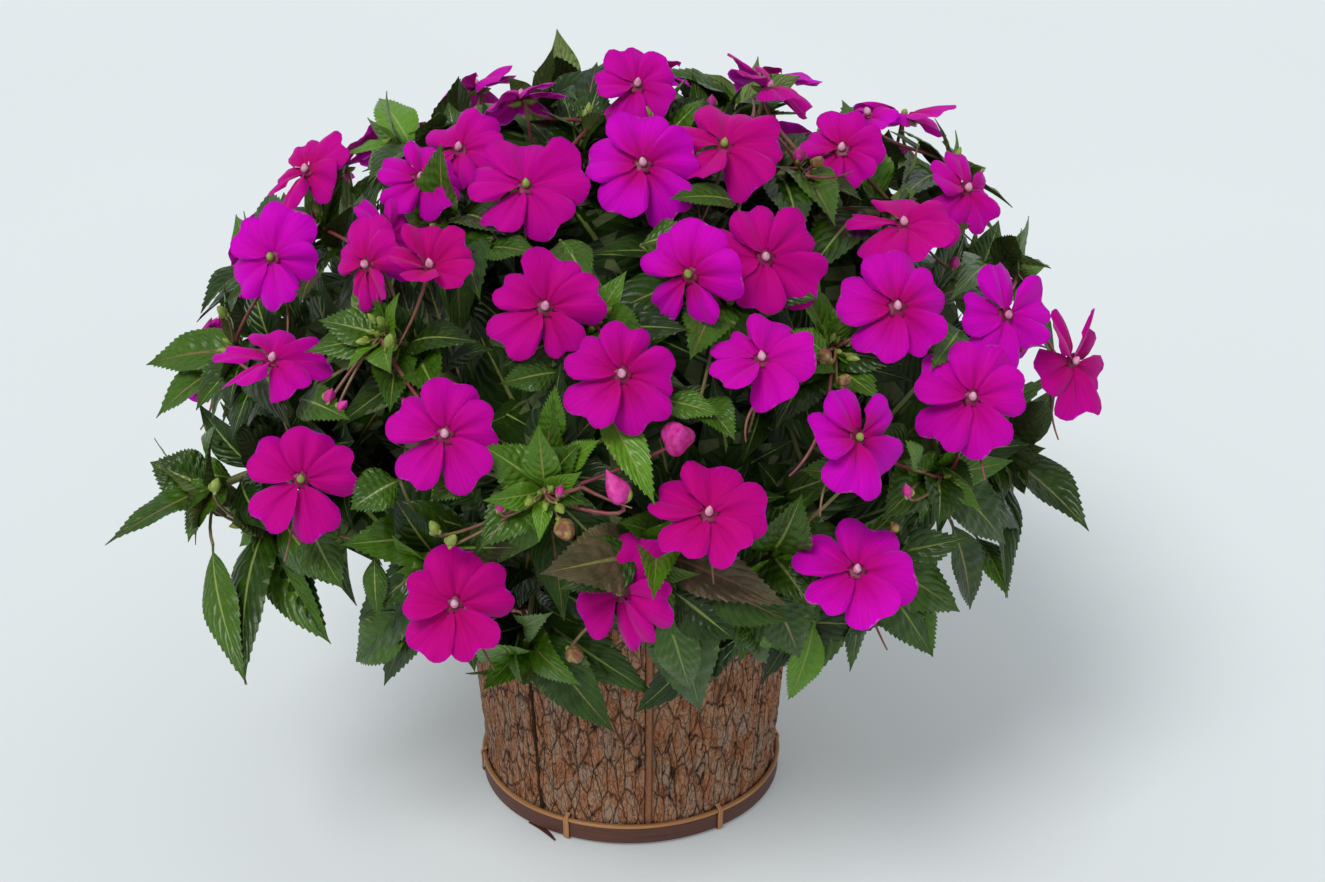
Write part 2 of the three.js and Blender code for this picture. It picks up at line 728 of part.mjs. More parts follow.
const beadLow = HOOP_HIGH + CLEARANCE;
const beadOuterRadius = HOOP_INNER_RADIUS + BEAD_THICKNESS;
addMesh('hoop_bead', turned([
  [HOOP_INNER_RADIUS + 0.3, beadLow],
  [beadOuterRadius, beadLow],
  [beadOuterRadius - 0.6, beadLow + BEAD_HEIGHT],
  [HOOP_INNER_RADIUS + 0.3, beadLow + BEAD_HEIGHT],
  [HOOP_INNER_RADIUS + 0.3, beadLow],
], HOOP_SEGMENTS), COLOURS.paleCane, 0.45);

function tieGeometry() {
  const inside = HOOP_INNER_RADIUS + 0.6;
  const front = beadOuterRadius + CLEARANCE;
  const under = HOOP_LOW - CLEARANCE;
  const over = beadLow + BEAD_HEIGHT + CLEARANCE;
  const outline = new THREE.Shape([
    [inside, under - TIE_THICKNESS],
    [front + TIE_THICKNESS, under - TIE_THICKNESS],
    [front + TIE_THICKNESS, over + TIE_THICKNESS],
    [inside, over + TIE_THICKNESS],
    [inside, over],
    [front, over],
    [front, under],
    [inside, under],
  ].map(([r, z]) => new THREE.Vector2(r, z)));
  const geometry = new THREE.ExtrudeGeometry(outline, { depth: TIE_WIDTH, bevelEnabled: false });
  geometry.translate(0, 0, -TIE_WIDTH / 2);
  geometry.rotateX(Math.PI / 2);
  return geometry;
}

TIE_ANGLES.forEach((angle, index) => {
  const mesh = addMesh(`hoop_tie_${index + 1}`, tieGeometry(), COLOURS.paleCane, 0.45);
  mesh.rotation.z = radians(angle - 90);
});

function tailSolid() {
  const from = floorPoint(TAIL_FROM);
  const to = floorPoint(TAIL_TO);
  const along = to.clone().sub(from).normalize();
  const side = vec(-along.y, along.x, 0).multiplyScalar(TAIL_WIDTH / 2);
  const start = from.clone().setLength(HOOP_INNER_RADIUS);
  const low = [
    start.clone().sub(side), to.clone().addScaledVector(side, -0.5),
    to.clone().addScaledVector(side, 0.5), start.clone().add(side),
  ];
  low.forEach((point) => point.setZ(0.1));
  const high = low.map((point) => point.clone().setZ(HOOP_LOW - CLEARANCE));
  return slab(high, low, [[0, 1, 2], [0, 2, 3]]);
}
addMesh('hoop_tail', geometryOf(tailSolid()), COLOURS.darkCane, 0.6);

// Base disc, rim ring and nursery pot
const POT_SEGMENTS = 20;
const discRadius = BARK_FOOT_RADIUS - BARK_THICKNESS - 1;
addMesh('base_disc', turned([[0, 0], [discRadius, 0], [discRadius, DISC_THICKNESS], [0, DISC_THICKNESS]],
  POT_SEGMENTS), COLOURS.timber);

const ringHigh = PLANTER_HEIGHT - RIM_RING_BELOW_TOP;
const ringLow = ringHigh - RIM_RING_HEIGHT;
const ringOuterRadius = barkRadius(ringLow) - BARK_THICKNESS - CLEARANCE * 3;
const ringInnerRadius = ringOuterRadius - RIM_RING_WIDTH;
addMesh('rim_ring', turned([
  [ringInnerRadius, ringLow],
  [ringOuterRadius, ringLow],
  [ringOuterRadius, ringHigh],
  [ringInnerRadius, ringHigh],
  [ringInnerRadius, ringLow],
], POT_SEGMENTS), COLOURS.timber);

const nurseryLow = DISC_THICKNESS + CLEARANCE;
const nurseryFloor = nurseryLow + 2;
const nurseryHigh = nurseryLow + NURSERY_HEIGHT;
addMesh('nursery_pot', turned([
  [0, nurseryLow],
  [NURSERY_FOOT_RADIUS, nurseryLow],
  [NURSERY_RIM_RADIUS, nurseryHigh],
  [NURSERY_RIM_RADIUS - NURSERY_WALL, nurseryHigh],
  [NURSERY_FOOT_RADIUS - NURSERY_WALL, nurseryFloor],
  [0, nurseryFloor],
], POT_SEGMENTS), COLOURS.nursery, 0.5);

// The plant: every shoot with its growing tip, leaves and blooms
const random = randomSource(7043);
const spread = (amount) => (random() * 2 - 1) * amount;
const goldenAngle = Math.PI * (3 - Math.sqrt(5));

function leafUp(base, tip, lean) {
  const middle = base.clone().lerp(tip, 0.5);
  return crownNormal(middle).multiplyScalar(0.75)
    .add(vec(0, 0, 0.55))
    .add(facing(middle, [0, 0]).multiplyScalar(lean))
    .normalize();
}

const shoots = SHOWN_SHOOTS.map((entry) => ({
  at: crownPoint(entry.at, SHOOT_DEPTH),
  shown: true,
  leaves: entry.leaves.map(({ tip, wide, depth = 0.97 }) => ({ tip: crownPoint(tip, depth), wide })),
  blooms: (entry.blooms ?? []).map(({ eye, radius, face, cup = 0.06, back = 0, form = 'full' }) => {
    const place = crownPoint(eye).addScaledVector(sightLine(eye), back);
    return { eye: place, normal: facing(place, face), sight: sightLine(eye), radius, cup, form };
  }),
  buds: (entry.buds ?? []).map(({ at, size, face }) => {
    const centre = crownPoint(at, 0.97);
    return { centre, normal: facing(centre, face), size };
  }),
}));

// Shoots by rule fill the sides, the top and the back, at even steps of the golden angle.
for (let index = 0; index < RULE_SHOOTS; index += 1) {
  const height = 1 - (index + 0.5) / RULE_SHOOTS * (1 - RULE_LOWEST);
  const angle = index * goldenAngle;
  const ring = Math.sqrt(1 - height * height);
  const unit = vec(Math.cos(angle) * ring, Math.sin(angle) * ring, height);
  const at = unit.multiply(crownRadii).multiplyScalar(SHOOT_DEPTH + spread(0.02)).add(crownCentre);
  if (shoots.some((other) => other.at.distanceTo(at) < RULE_SPACING)) continue;
  const outward = crownNormal(at);
  const level = vec(-outward.y, outward.x, 0).normalize();
  const steep = outward.clone().cross(level);
  const first = random() * Math.PI * 2;
  const leaves = [];
  for (let turn = 0; turn < RULE_LEAVES; turn += 1) {
    const round = first + turn / RULE_LEAVES * Math.PI * 2 + spread(0.25);
    const reach = RULE_LEAF_REACH + spread(10);
    const tip = at.clone()
      .addScaledVector(level, Math.cos(round) * reach)
      .addScaledVector(steep, Math.sin(round) * reach)
      .addScaledVector(outward, RULE_LEAF_LIFT + spread(8))
      .add(vec(0, 0, -RULE_LEAF_DROOP));
    leaves.push({ tip, wide: reach * 0.38 });
  }
  shoots.push({ at, shown: false, leaves, blooms: [], buds: [] });
}

// Blooms by rule: pairs on the shoots of the far side, spread evenly.
const farShoots = shoots
  .filter((shoot) => !shoot.shown && shoot.at.y > FAR_FRONT && shoot.at.z < FAR_TOP)
  .sort((one, other) => Math.atan2(one.at.y, one.at.x) - Math.atan2(other.at.y, other.at.x));
for (let index = 0; index < FAR_SPRAYS; index += 1) {
  const shoot = farShoots[Math.floor((index + 0.5) * farShoots.length / FAR_SPRAYS)];
  const outward = crownNormal(shoot.at);
  const level = vec(-outward.y, outward.x, 0).normalize();
  const steep = outward.clone().cross(level);
  const first = random() * Math.PI * 2;
  for (const half of [0, Math.PI]) {
    const round = first + half + spread(0.3);
    const reach = FAR_BLOOM_SIDE + spread(4);
    const eye = shoot.at.clone()
      .addScaledVector(outward, FAR_BLOOM_LIFT + spread(4))
      .addScaledVector(level, Math.cos(round) * reach)
      .addScaledVector(steep, Math.sin(round) * reach);
    const normal = crownNormal(eye).add(vec(spread(0.25), spread(0.25), 0.35 + spread(0.2))).normalize();
    const sight = normal.clone().negate();
    const radius = BLOOM_RADIUS + spread(2.5);
    shoot.blooms.push({ eye, normal, sight, radius, cup: 0.06, form: 'plain' });
  }
}

// Main stems: eight round the outside of the pot and four inside, each with the shoots of
// its own sector.
const stems = [];
for (let index = 0; index < OUTER_STEMS + INNER_STEMS; index += 1) {
  const inner = index >= OUTER_STEMS;
  const count = inner ? INNER_STEMS : OUTER_STEMS;
  const ring = inner ? INNER_ROOT_RADIUS : OUTER_ROOT_RADIUS;
  const angle = (index % count + 0.5) / count * Math.PI * 2;
  stems.push({
    inner,
    node: `leafy_stem_${String(index + 1).padStart(2, '0')}`,
    root: vec(Math.cos(angle) * ring, Math.sin(angle) * ring, SOIL_LEVEL),
    shoots: [],
  });
}
const UPPER_HEIGHT = 0.66;
shoots.forEach((shoot) => {
  const unit = shoot.at.clone().sub(crownCentre).divide(crownRadii).normalize();
  const angle = (Math.atan2(unit.y, unit.x) + Math.PI * 2) % (Math.PI * 2);
  const inner = unit.z > UPPER_HEIGHT;
  const count = inner ? INNER_STEMS : OUTER_STEMS;
  const sector = Math.floor(angle / (Math.PI * 2) * count) % count;
  shoot.stem = stems[inner ? OUTER_STEMS + sector : sector];
  shoot.stem.shoots.push(shoot);
});

// Soil with a plain hole for each stem
let soil = manifoldOfGeometry(turned([
  [0, nurseryFloor + CLEARANCE],
  [NURSERY_FOOT_RADIUS - NURSERY_WALL - CLEARANCE * 3, nurseryFloor + CLEARANCE],
  [NURSERY_RIM_RADIUS - NURSERY_WALL - CLEARANCE * 6, SOIL_LEVEL - 2],
  [NURSERY_RIM_RADIUS - 14, SOIL_LEVEL],
  [0, SOIL_LEVEL + SOIL_MOUND],
], POT_SEGMENTS));
for (const { root } of stems) {
  const hole = new THREE.CylinderGeometry(HOLE_RADIUS, HOLE_RADIUS, HOLE_DEPTH * 2, 5);
  hole.rotateX(Math.PI / 2);
  hole.translate(root.x, root.y, SOIL_LEVEL);
  soil = soil.subtract(manifoldOfGeometry(hole));
}
addMesh('soil', geometryOf(soil), COLOURS.soil, 0.95);
keep('soil', soil);

// The planter's wall as one plain ring, for keeping the plant clear of it
const GUARD_INNER_RADIUS = NURSERY_RIM_RADIUS - 3;
keep('planter', manifoldOfGeometry(turned([
  [GUARD_INNER_RADIUS, SOIL_LEVEL - 30],
  [BARK_FOOT_RADIUS, 0],
  [BARK_RIM_RADIUS + 2, PLANTER_HEIGHT + 2],
  [GUARD_INNER_RADIUS, PLANTER_HEIGHT + 2],
  [GUARD_INNER_RADIUS, SOIL_LEVEL - 30],
], 32)));

// A smaller core in each stem's own sector closes the view through the bush. Its outline is
// given as fractions of the crown's radii.
const CORE_GAP = 0.6;
const OUTER_CORE = [[0.3, -0.36], [0.44, -0.42], [0.62, -0.04], [0.48, 0.38], [0.3, 0.2]];
const INNER_CORE = [[0.06, 0.27], [0.26, 0.27], [0.46, 0.43], [0.3, 0.57], [0.06, 0.62]];
const CORE_TURNS = 2;

function coreSolid(outline, fromAngle, toAngle) {
  const points = [];
  for (let turn = 0; turn <= CORE_TURNS; turn += 1) {
    for (const [out, height] of outline) {
      const gap = CORE_GAP / (out * CROWN_RADII[1]);
      const angle = THREE.MathUtils.lerp(fromAngle + gap, toAngle - gap, turn / CORE_TURNS);
      const unit = vec(Math.cos(angle) * out, Math.sin(angle) * out, height);
      points.push(unit.multiply(crownRadii).add(crownCentre));
    }
  }
  const count = outline.length;
  const triangles = [];
  for (let turn = 0; turn < CORE_TURNS; turn += 1) {
    for (let index = 0; index < count; index += 1) {
      const a = turn * count + index;
      const b = turn * count + (index + 1) % count;
      triangles.push([a, a + count, b], [b, a + count, b + count]);
    }
  }
  const last = CORE_TURNS * count;
  for (let index = 1; index < count - 1; index += 1) {
    triangles.push([0, index, index + 1]);
    triangles.push([last, last + index + 1, last + index]);
  }
  return manifoldOf(points, triangles);
}

stems.forEach((stem, index) => {
  const count = stem.inner ? INNER_STEMS : OUTER_STEMS;
  const from = (index % count) / count * Math.PI * 2;
  stem.core = coreSolid(stem.inner ? INNER_CORE : OUTER_CORE, from, from + Math.PI * 2 / count);
  keep(stem.node, stem.core);
});

// Stems and branches
const SEAT_BAND = 8;
const OUTER_FORK = [98, 216];
const INNER_FORK = [46, 318];
const BRANCH_FORM = [3, BRANCH_RADIUS * BRANCH_TAPER, BRANCH_RADIUS];
const BRANCH_GUARD_FORM = [3, BRANCH_RADIUS * BRANCH_TAPER + 0.6, BRANCH_RADIUS + 0.6];
const branchTries = [26, 10, 45, 70, -10].flatMap((rise) => (
  [0, 12, -12, 24, -24, 36, -36, 50, -50].map((shift) => [rise, shift])
));
for (const stem of stems) {
  const [forkRadius, forkHeight] = stem.inner ? INNER_FORK : OUTER_FORK;
  stem.fork = stem.root.clone().setZ(0).setLength(forkRadius).setZ(forkHeight);
  const foot = stem.root.clone().setZ(SOIL_LEVEL - HOLE_DEPTH + 2);
  const collar = stem.root.clone().setZ(SOIL_LEVEL + 6);
  const trunk = stalk([foot, collar, stem.fork], 5, STEM_RADIUS, STEM_RADIUS * 0.85);
  keep(stem.node, trunk);
  stem.parts = [stem.core, trunk];
  stem.shoots = [];
}

function growBranch(stem, shoot) {
  const { fork } = stem;
  const sideways = shoot.at.clone().sub(fork).cross(vec(0, 0, 1)).normalize();
  const bendOf = ([rise, shift]) => fork.clone().lerp(shoot.at, 0.5)
    .add(vec(0, 0, rise))
    .addScaledVector(sideways, shift);
  const lineOf = (variant) => {
    const bend = bendOf(variant);
    const curve = new THREE.QuadraticBezierCurve3(fork, bend, shoot.at);
    const heading = shoot.at.clone().sub(bend).normalize();
    const bands = [2, 1, 0].map((band) => shoot.at.clone().addScaledVector(heading, -band * SEAT_BAND));
    return [fork, curve.getPoint(0.45), ...bands];
  };
  const outcome = placeWithRoom(stem.node, branchTries, (variant) => ({
    solid: stalk(lineOf(variant), ...BRANCH_FORM),
    guard: stalk(lineOf(variant), ...BRANCH_GUARD_FORM),
  }), 'branch');
  if (!outcome) return false;
  shoot.heading = shoot.at.clone().sub(bendOf(outcome.variant)).normalize();
  shoot.mesh = stalkMesh(lineOf(outcome.variant), ...BRANCH_FORM);
  stem.shoots.push(shoot);
  return true;
}

// A shoot that its own sector's stem can't reach grows from the nearest stem that can.
const shownFirst = [...shoots].sort((one, other) => Number(other.shown) - Number(one.shown));
for (const shoot of shownFirst) {
  const nearest = [...stems].sort((one, other) => (
    one.fork.distanceTo(shoot.at) - other.fork.distanceTo(shoot.at)
  ));
  const choices = [shoot.stem, ...nearest.filter((stem) => stem !== shoot.stem)];
  choices.some((stem) => growBranch(stem, shoot));
}

// Sprays: the blooms and buds of a shoot, joined by their stalks at a small knob that
// sits on the growing tip.
const sprays = [];
const bloomTries = [0, -6, 6, -12, 12, -18, 18, -24, 24];
for (const stem of stems) {
  for (const shoot of stem.shoots) {
    if (shoot.blooms.length + shoot.buds.length === 0) continue;
    const node = `bloom_spray_${String(sprays.length + 1).padStart(2, '0')}`;
    const knob = shoot.at.clone().addScaledVector(shoot.heading, KNOB_RADIUS + 0.6);
    const knobSolid = manifoldOfGeometry(
      new THREE.OctahedronGeometry(KNOB_RADIUS).translate(knob.x, knob.y, knob.z),
    );
    keep(node, knobSolid);
    const spray = { node, parts: [knobSolid] };
    const lineTo = (end, normal, back) => {
      const from = end.clone().addScaledVector(normal, -back);
      const curve = new THREE.CubicBezierCurve3(
        from,
        from.clone().addScaledVector(normal, -16),
        knob.clone().addScaledVector(shoot.heading, 14),
        knob,
      );
      return curve.getPoints(2);
    };
    const stalkTo = (item, extra) => {
      const line = lineTo(item.centre, item.normal, item.size / 2 - 2);
      return stalk(line, 3, PEDICEL_RADIUS + extra, PEDICEL_RADIUS + extra);
    };
    for (const flower of shoot.blooms) {
      const spin = random() * Math.PI * 2;
      const outcome = placeWithRoom(node, bloomTries, (shift) => {
        const moved = {
          ...flower, spin, eye: flower.eye.clone().addScaledVector(flower.sight, shift),
        };
        const line = lineTo(moved.eye, moved.normal, NECK_DEPTH);
        return { solid: bloomSolid(moved, line), guard: bloomSolid(moved, line, 0.5) };
      });
      if (outcome) spray.parts.push(outcome.solid);
    }
    for (const item of shoot.buds) {
      const outcome = placeWithRoom(node, [0], () => ({
        solid: budSolid(item).add(stalkTo(item, 0)),
        guard: budSolid(item).add(stalkTo(item, 0.3)),
      }));
      if (outcome) spray.parts.push(outcome.solid);
    }
    sprays.push(spray);
  }
}

// Leaves: first those that the photograph shows, then the others
const leafTries = [0, 0.14, -0.14, 0.28, -0.28, 0.42, -0.42, 0.6, -0.6, 0.8, -0.8].flatMap((turn) => (
  [0, 0.16, -0.16, 0.34, -0.34].map((side) => [turn, side])
));
const SHORTER = [1, 0.88, 0.76, 0.64, 0.52, 0.42];
const SEAT_TRIES = 5;
const LARGE_LEAF = 84;
const WIDEST_LEAF = 0.6;
const LEAF_ARCH = 0.14;
const LEAF_GUARD = 0.5;

// The seats of a shoot: the two triangles of each side, in each of its last two bands.
function seatsOf(mesh) {
  const skin = mesh.triangles.slice(0, -2);
  return skin.slice(-12).map((triangle, index) => ({
    triangle,
    isUpper: index % 2 === 1,
    corners: triangle.map((corner) => mesh.points[corner]),
  }));
}

function placeLeaf(stem, shoot, entry) {
  const heading = entry.tip.clone().sub(shoot.at).normalize();
  const suit = (seat) => {
    const [a, b, c] = seat.corners;
    const outward = b.clone().sub(a).cross(c.clone().sub(a)).normalize();
    return outward.dot(heading);
  };
  const seats = shoot.seats.filter((seat) => !seat.taken).sort((one, other) => suit(other) - suit(one));
  for (const size of SHORTER) {
    for (const seat of seats.slice(0, SEAT_TRIES)) {
      const base = seat.corners.reduce((sum, corner) => sum.addScaledVector(corner, 1 / 3), vec(0, 0, 0));
      const toTip = entry.tip.clone().sub(base);
      const up = leafUp(base, entry.tip, 0.3);
      const hinge = up.clone().cross(toTip).normalize();
      const outcome = placeWithRoom(stem.node, leafTries, ([turn, side]) => {
        const turned = up.clone().applyAxisAngle(hinge, turn);
        const fold = turned.dot(shoot.heading) < 0 ? -1 : 1;
        const blade = {
          base,
          tip: toTip.clone().applyAxisAngle(hinge, turn).applyAxisAngle(up, side)
            .multiplyScalar(size).add(base),
          up: turned.multiplyScalar(fold),
          fold,
          wide: Math.min(entry.wide, toTip.length() * size * WIDEST_LEAF),
          arch: LEAF_ARCH + turn * 0.15,
          stations: toTip.length() * size > LARGE_LEAF ? 'large' : 'plain',
        };
        return {
          blade,
          solid: leafSolid(blade, seat.corners, seat.isUpper, LEAF_THICKNESS),
          guard: leafSolid(blade, seat.corners, seat.isUpper, LEAF_THICKNESS + LEAF_GUARD),
        };
      }, 'leaf');
      if (outcome) {
        seat.taken = true;
        shoot.grown.push({ seat, blade: outcome.blade });
        return;
      }
    }
  }
}

for (const shown of [true, false]) {
  for (const stem of stems) {
    for (const shoot of stem.shoots) {
      if (shoot.shown !== shown) continue;
      shoot.seats = seatsOf(shoot.mesh);
      shoot.grown = [];
      for (const entry of shoot.leaves) {
        placeLeaf(stem, shoot, entry);
      }
    }
  }
}

// A shoot's skin with its leaves in place of their seats
function shootSolid({ mesh, grown }) {
  const points = [...mesh.points];
  const taken = new Set(grown.map(({ seat }) => seat.triangle));
  const triangles = mesh.triangles.filter((triangle) => !taken.has(triangle));
  for (const { seat, blade } of grown) {
    const own = bladePoints(blade, LEAF_THICKNESS);
    const rows = LEAF_STATIONS[blade.stations].length;
    triangles.push(...bladeTriangles(seatOf(seat.triangle, seat.isUpper), points.length, rows));
    points.push(...own);
  }
  return manifoldOf(points, triangles);
}

for (const stem of stems) {
  for (const shoot of stem.shoots) {
    stem.parts.push(shootSolid(shoot));
  }
}

// One solid for each stem and spray. A loose scrap or a sealed hollow is dropped.
function fused(parts) {
  const whole = parts.reduce((sum, part) => sum.add(part));
  const pieces = whole.decompose();
  return pieces.reduce((largest, piece) => (piece.volume() > largest.volume() ? piece : largest));
}

stems.forEach((stem) => addMesh(stem.node, geometryOf(fused(stem.parts)), COLOURS.foliage, 0.45));
sprays.forEach((spray) => addMesh(spray.node, geometryOf(fused(spray.parts)), COLOURS.petal, 0.5));

export default group;
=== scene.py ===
# A potted New Guinea impatiens in full bloom, in a planter of bark staves with a cane hoop.
# Metres and +Z up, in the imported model's frame. The front of the plant faces -Y. Sizes and
# places are written in millimetres, and MM turns them to metres.
import math

import bpy
import numpy as np
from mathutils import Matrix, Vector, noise


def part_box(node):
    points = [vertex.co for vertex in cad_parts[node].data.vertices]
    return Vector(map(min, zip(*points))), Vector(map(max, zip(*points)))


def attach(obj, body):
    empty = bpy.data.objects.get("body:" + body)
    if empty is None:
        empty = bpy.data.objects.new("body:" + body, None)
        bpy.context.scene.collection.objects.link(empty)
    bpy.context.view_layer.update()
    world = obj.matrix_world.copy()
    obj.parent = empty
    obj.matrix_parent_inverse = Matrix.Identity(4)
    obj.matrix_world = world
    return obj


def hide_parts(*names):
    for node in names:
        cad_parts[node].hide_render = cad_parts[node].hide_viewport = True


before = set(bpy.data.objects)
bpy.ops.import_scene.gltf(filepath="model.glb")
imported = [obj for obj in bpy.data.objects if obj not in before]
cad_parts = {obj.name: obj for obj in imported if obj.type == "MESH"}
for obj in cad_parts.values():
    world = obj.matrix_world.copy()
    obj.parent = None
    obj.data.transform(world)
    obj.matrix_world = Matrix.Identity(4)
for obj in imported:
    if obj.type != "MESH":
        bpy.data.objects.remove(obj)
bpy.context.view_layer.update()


# View
# The photograph looks down at the plant from the front. Its pixels, in a frame of 1325 by
# 882, also tell where the shoots and blooms below stand.
MM = 0.001
PICTURE_SIZE = (1325, 882)
PICTURE_FOCAL = 2500
VIEW_PITCH = math.radians(25.7)
VIEW_DISTANCE = 1490
PLANTER_FOOT_PIXEL = (631, 761)
SENSOR_WIDTH = 36

view_right = np.array([1.0, 0.0, 0.0])
view_forward = np.array([0.0, math.cos(VIEW_PITCH), -math.sin(VIEW_PITCH)])
view_up = np.cross(view_right, view_forward)


# The same direction with a length of 1
def unit(vector):
    return vector / np.linalg.norm(vector)


# The direction in which the camera sees a pixel of the photograph
def sight_line(pixel):
    across = (pixel[0] - PICTURE_SIZE[0] / 2) / PICTURE_FOCAL
    above = (PICTURE_SIZE[1] / 2 - pixel[1]) / PICTURE_FOCAL
    return unit(view_forward + view_right * across + view_up * above)


view_point = -sight_line(PLANTER_FOOT_PIXEL) * VIEW_DISTANCE
camera_data = bpy.data.cameras.new("view")
camera_data.sensor_width = SENSOR_WIDTH
camera_data.lens = SENSOR_WIDTH * PICTURE_FOCAL / PICTURE_SIZE[0]
camera = bpy.data.objects.new("view", camera_data)
camera.location = view_point * MM
camera.rotation_euler = (math.pi / 2 - VIEW_PITCH, 0, 0)
bpy.context.scene.collection.objects.link(camera)
bpy.context.scene.camera = camera


# Bark staves
# Seven slabs of a conifer's outer bark stand edge to edge round the pot and are nailed to a
# disc at the foot. The bark is dry and deeply fissured into long grey-brown plates. Down in
# the furrows it is reddish-brown to dark brown, and painted shade makes the furrows, the
# cracks and the step of each flake darker still.
PLANTER_HEIGHT = 148
BARK_FOOT_RADIUS = 82
BARK_RIM_RADIUS = 94
BARK_THICKNESS = 6.5
STAVE_JOINT_ANGLES = [-37, 6, 58, 110, 165, 220, 272]
STAVE_JOINT_GAPS = [2.4, 0.5, 1.6, 1.6, 1.2, 1.8, 1.4]
BARK_RIM_DROP = 3
BARK_RIM_WAVE = 2.2
BARK_SWELL = 1.2
BARK_CUT_EDGE = 1.6
BARK_EDGE_ROUNDING = 0.9
BARK_STEP = 1.15
LINING_DROP = 4
LINING_ROWS = 4
LINING_COLUMNS = 9
PLATE_WIDTH = 7.5
PLATE_HEIGHT = 24
CHIP_WIDTH = 3.6
CHIP_HEIGHT = 10
FURROW_DEPTH = 1.7
FLAKE_WIDTH = 7
FLAKE_HEIGHT = 20
FLAKE_LAYERS = 11
GRAIN_WIDTH = 1.1
GRAIN_HEIGHT = 3.2
PATCH_WIDTH = 11
PATCH_HEIGHT = 26
SMOOTH_STAVE = 1
SMOOTH_STRIP_WIDTH = 5
SMOOTH_STRIP_EDGE = 1.2
SMOOTH_STRIP_RELIEF = 0.42
CRACK_WANDER = 0.55
STAVE_PATTERN_STEP = 137
CUT_RELIEF = 0.45
# The furrow colour: partly the bark's own dark inner colour, partly painted shade
BARK_FURROW = "38231a"
BARK_RED = "a46b4a"
BARK_PLATE = "b48262"
BARK_GREY = "a48a76"
BARK_STRIP = "96664a"

# Settings of two nodes: a mix of the colours at inputs 6 and 7 by the share at input 0, and a
# range with soft ends
MIXED_COLOUR = {"data_type": "RGBA", "out": 2}
EASED = {"interpolation_type": "SMOOTHSTEP"}


# A colour from its sRGB hex code, in linear light
def linear(code):
    shares = [int(code[i : i + 2], 16) / 255 for i in (0, 2, 4)]
    return [c / 12.92 if c < 0.04045 else ((c + 0.055) / 1.055) ** 2.4 for c in shares] + [1]


# One shader node, whose inputs are values, hex codes of colours or other nodes' outputs. It
# gives one output.
def add(material, kind, inputs=None, out=0, **settings):
    tree = material.node_tree
    made = tree.nodes.new("ShaderNode" + kind)
    for name, value in settings.items():
        setattr(made, name, value)
    for socket, value in (inputs or {}).items():
        if isinstance(value, bpy.types.NodeSocket):
            tree.links.new(value, made.inputs[socket])
        else:
            made.inputs[socket].default_value = linear(value) if isinstance(value, str) else value
    return made.outputs[out]


# A material with nothing in it yet but its output
def new_material(name):
    material = bpy.data.materials.new(name)
    material.use_nodes = True
    material.node_tree.nodes.remove(material.node_tree.nodes["Principled BSDF"])
    return material


# The last step of a material: its shader goes to the output
def finish_material(material, shader):
    output = material.node_tree.nodes["Material Output"]
    material.node_tree.links.new(shader, output.inputs["Surface"])


# One object from points in millimetres, faces and the values that each point carries
def mesh_object(name, points, faces, materials, face_materials=None, uv=None, values=None, smooth=True):
    mesh = bpy.data.meshes.new(name)
    faces = np.asarray(faces)
    width = faces.shape[1]
    mesh.vertices.add(len(points))
    mesh.vertices.foreach_set("co", (np.asarray(points, dtype=np.float32) * MM).ravel())
    mesh.loops.add(faces.size)
    mesh.loops.foreach_set("vertex_index", faces.ravel().astype(np.int32))
    mesh.polygons.add(len(faces))
    mesh.polygons.foreach_set("loop_start", np.arange(0, faces.size, width, dtype=np.int32))
    if face_materials is not None:
        mesh.polygons.foreach_set("material_index", np.asarray(face_materials, dtype=np.int32))
    mesh.update(calc_edges=True)
    if uv is not None:
        layer = mesh.uv_layers.new(name="surface")
        layer.data.foreach_set("uv", np.asarray(uv, dtype=np.float32)[faces.ravel()].ravel())
    for label, amounts in (values or {}).items():
        kind = "FLOAT" if np.ndim(amounts) == 1 else "FLOAT_VECTOR"
        attribute = mesh.attributes.new(label, kind, "POINT")
        field = "value" if kind == "FLOAT" else "vector"
        attribute.data.foreach_set(field, np.asarray(amounts, dtype=np.float32).ravel())
    mesh.validate()
    if smooth:
        mesh.shade_smooth()
    else:
        mesh.shade_flat()
    for material in materials:
        mesh.materials.append(material)
    made = bpy.data.objects.new(name, mesh)
    bpy.context.scene.collection.objects.link(made)
    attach(made, "root")
    return made


# Faces of a grid of points, laid row after row
def grid_faces(rows, columns, first=0, flip=False):
    row = np.arange(rows - 1)[:, None] * columns
    corner = (first + row + np.arange(columns - 1)[None, :]).ravel()
    turns = [corner, corner + 1, corner + columns + 1, corner + columns]
    if flip:
        turns.reverse()
    return np.stack(turns, axis=1)


# Dry conifer bark: rough and without gloss. Thin flakes lie in layers in browns that the
# weather has greyed on the plates. A dark line of painted shade runs along the step at each
# flake's broken edge.
bark = new_material("weathered_conifer_bark")
bark_uv = add(bark, "UVMap", uv_map="surface")
bark_relief = add(bark, "Attribute", attribute_name="relief", out="Fac")
flake_place = add(bark, "Mapping", {"Vector": bark_uv, "Scale": (1 / FLAKE_WIDTH, 1 / FLAKE_HEIGHT, 1)})
flake_form = add(bark, "TexNoise", {"Vector": flake_place, "Scale": 1.0, "Detail": 3.5, "Distortion": 0.55})
flake_level = add(bark, "Math", {0: flake_form, 1: FLAKE_LAYERS}, operation="MULTIPLY")
flake_part = add(bark, "Math", {0: flake_level}, operation="FRACT")
flake_floor = add(bark, "Math", {0: flake_level}, operation="FLOOR")
flake_edge = add(bark, "MapRange", {"Value": flake_part, "From Max": 0.24}, **EASED)
flake_height = add(bark, "Math", {0: flake_floor, 1: flake_edge}, operation="ADD")


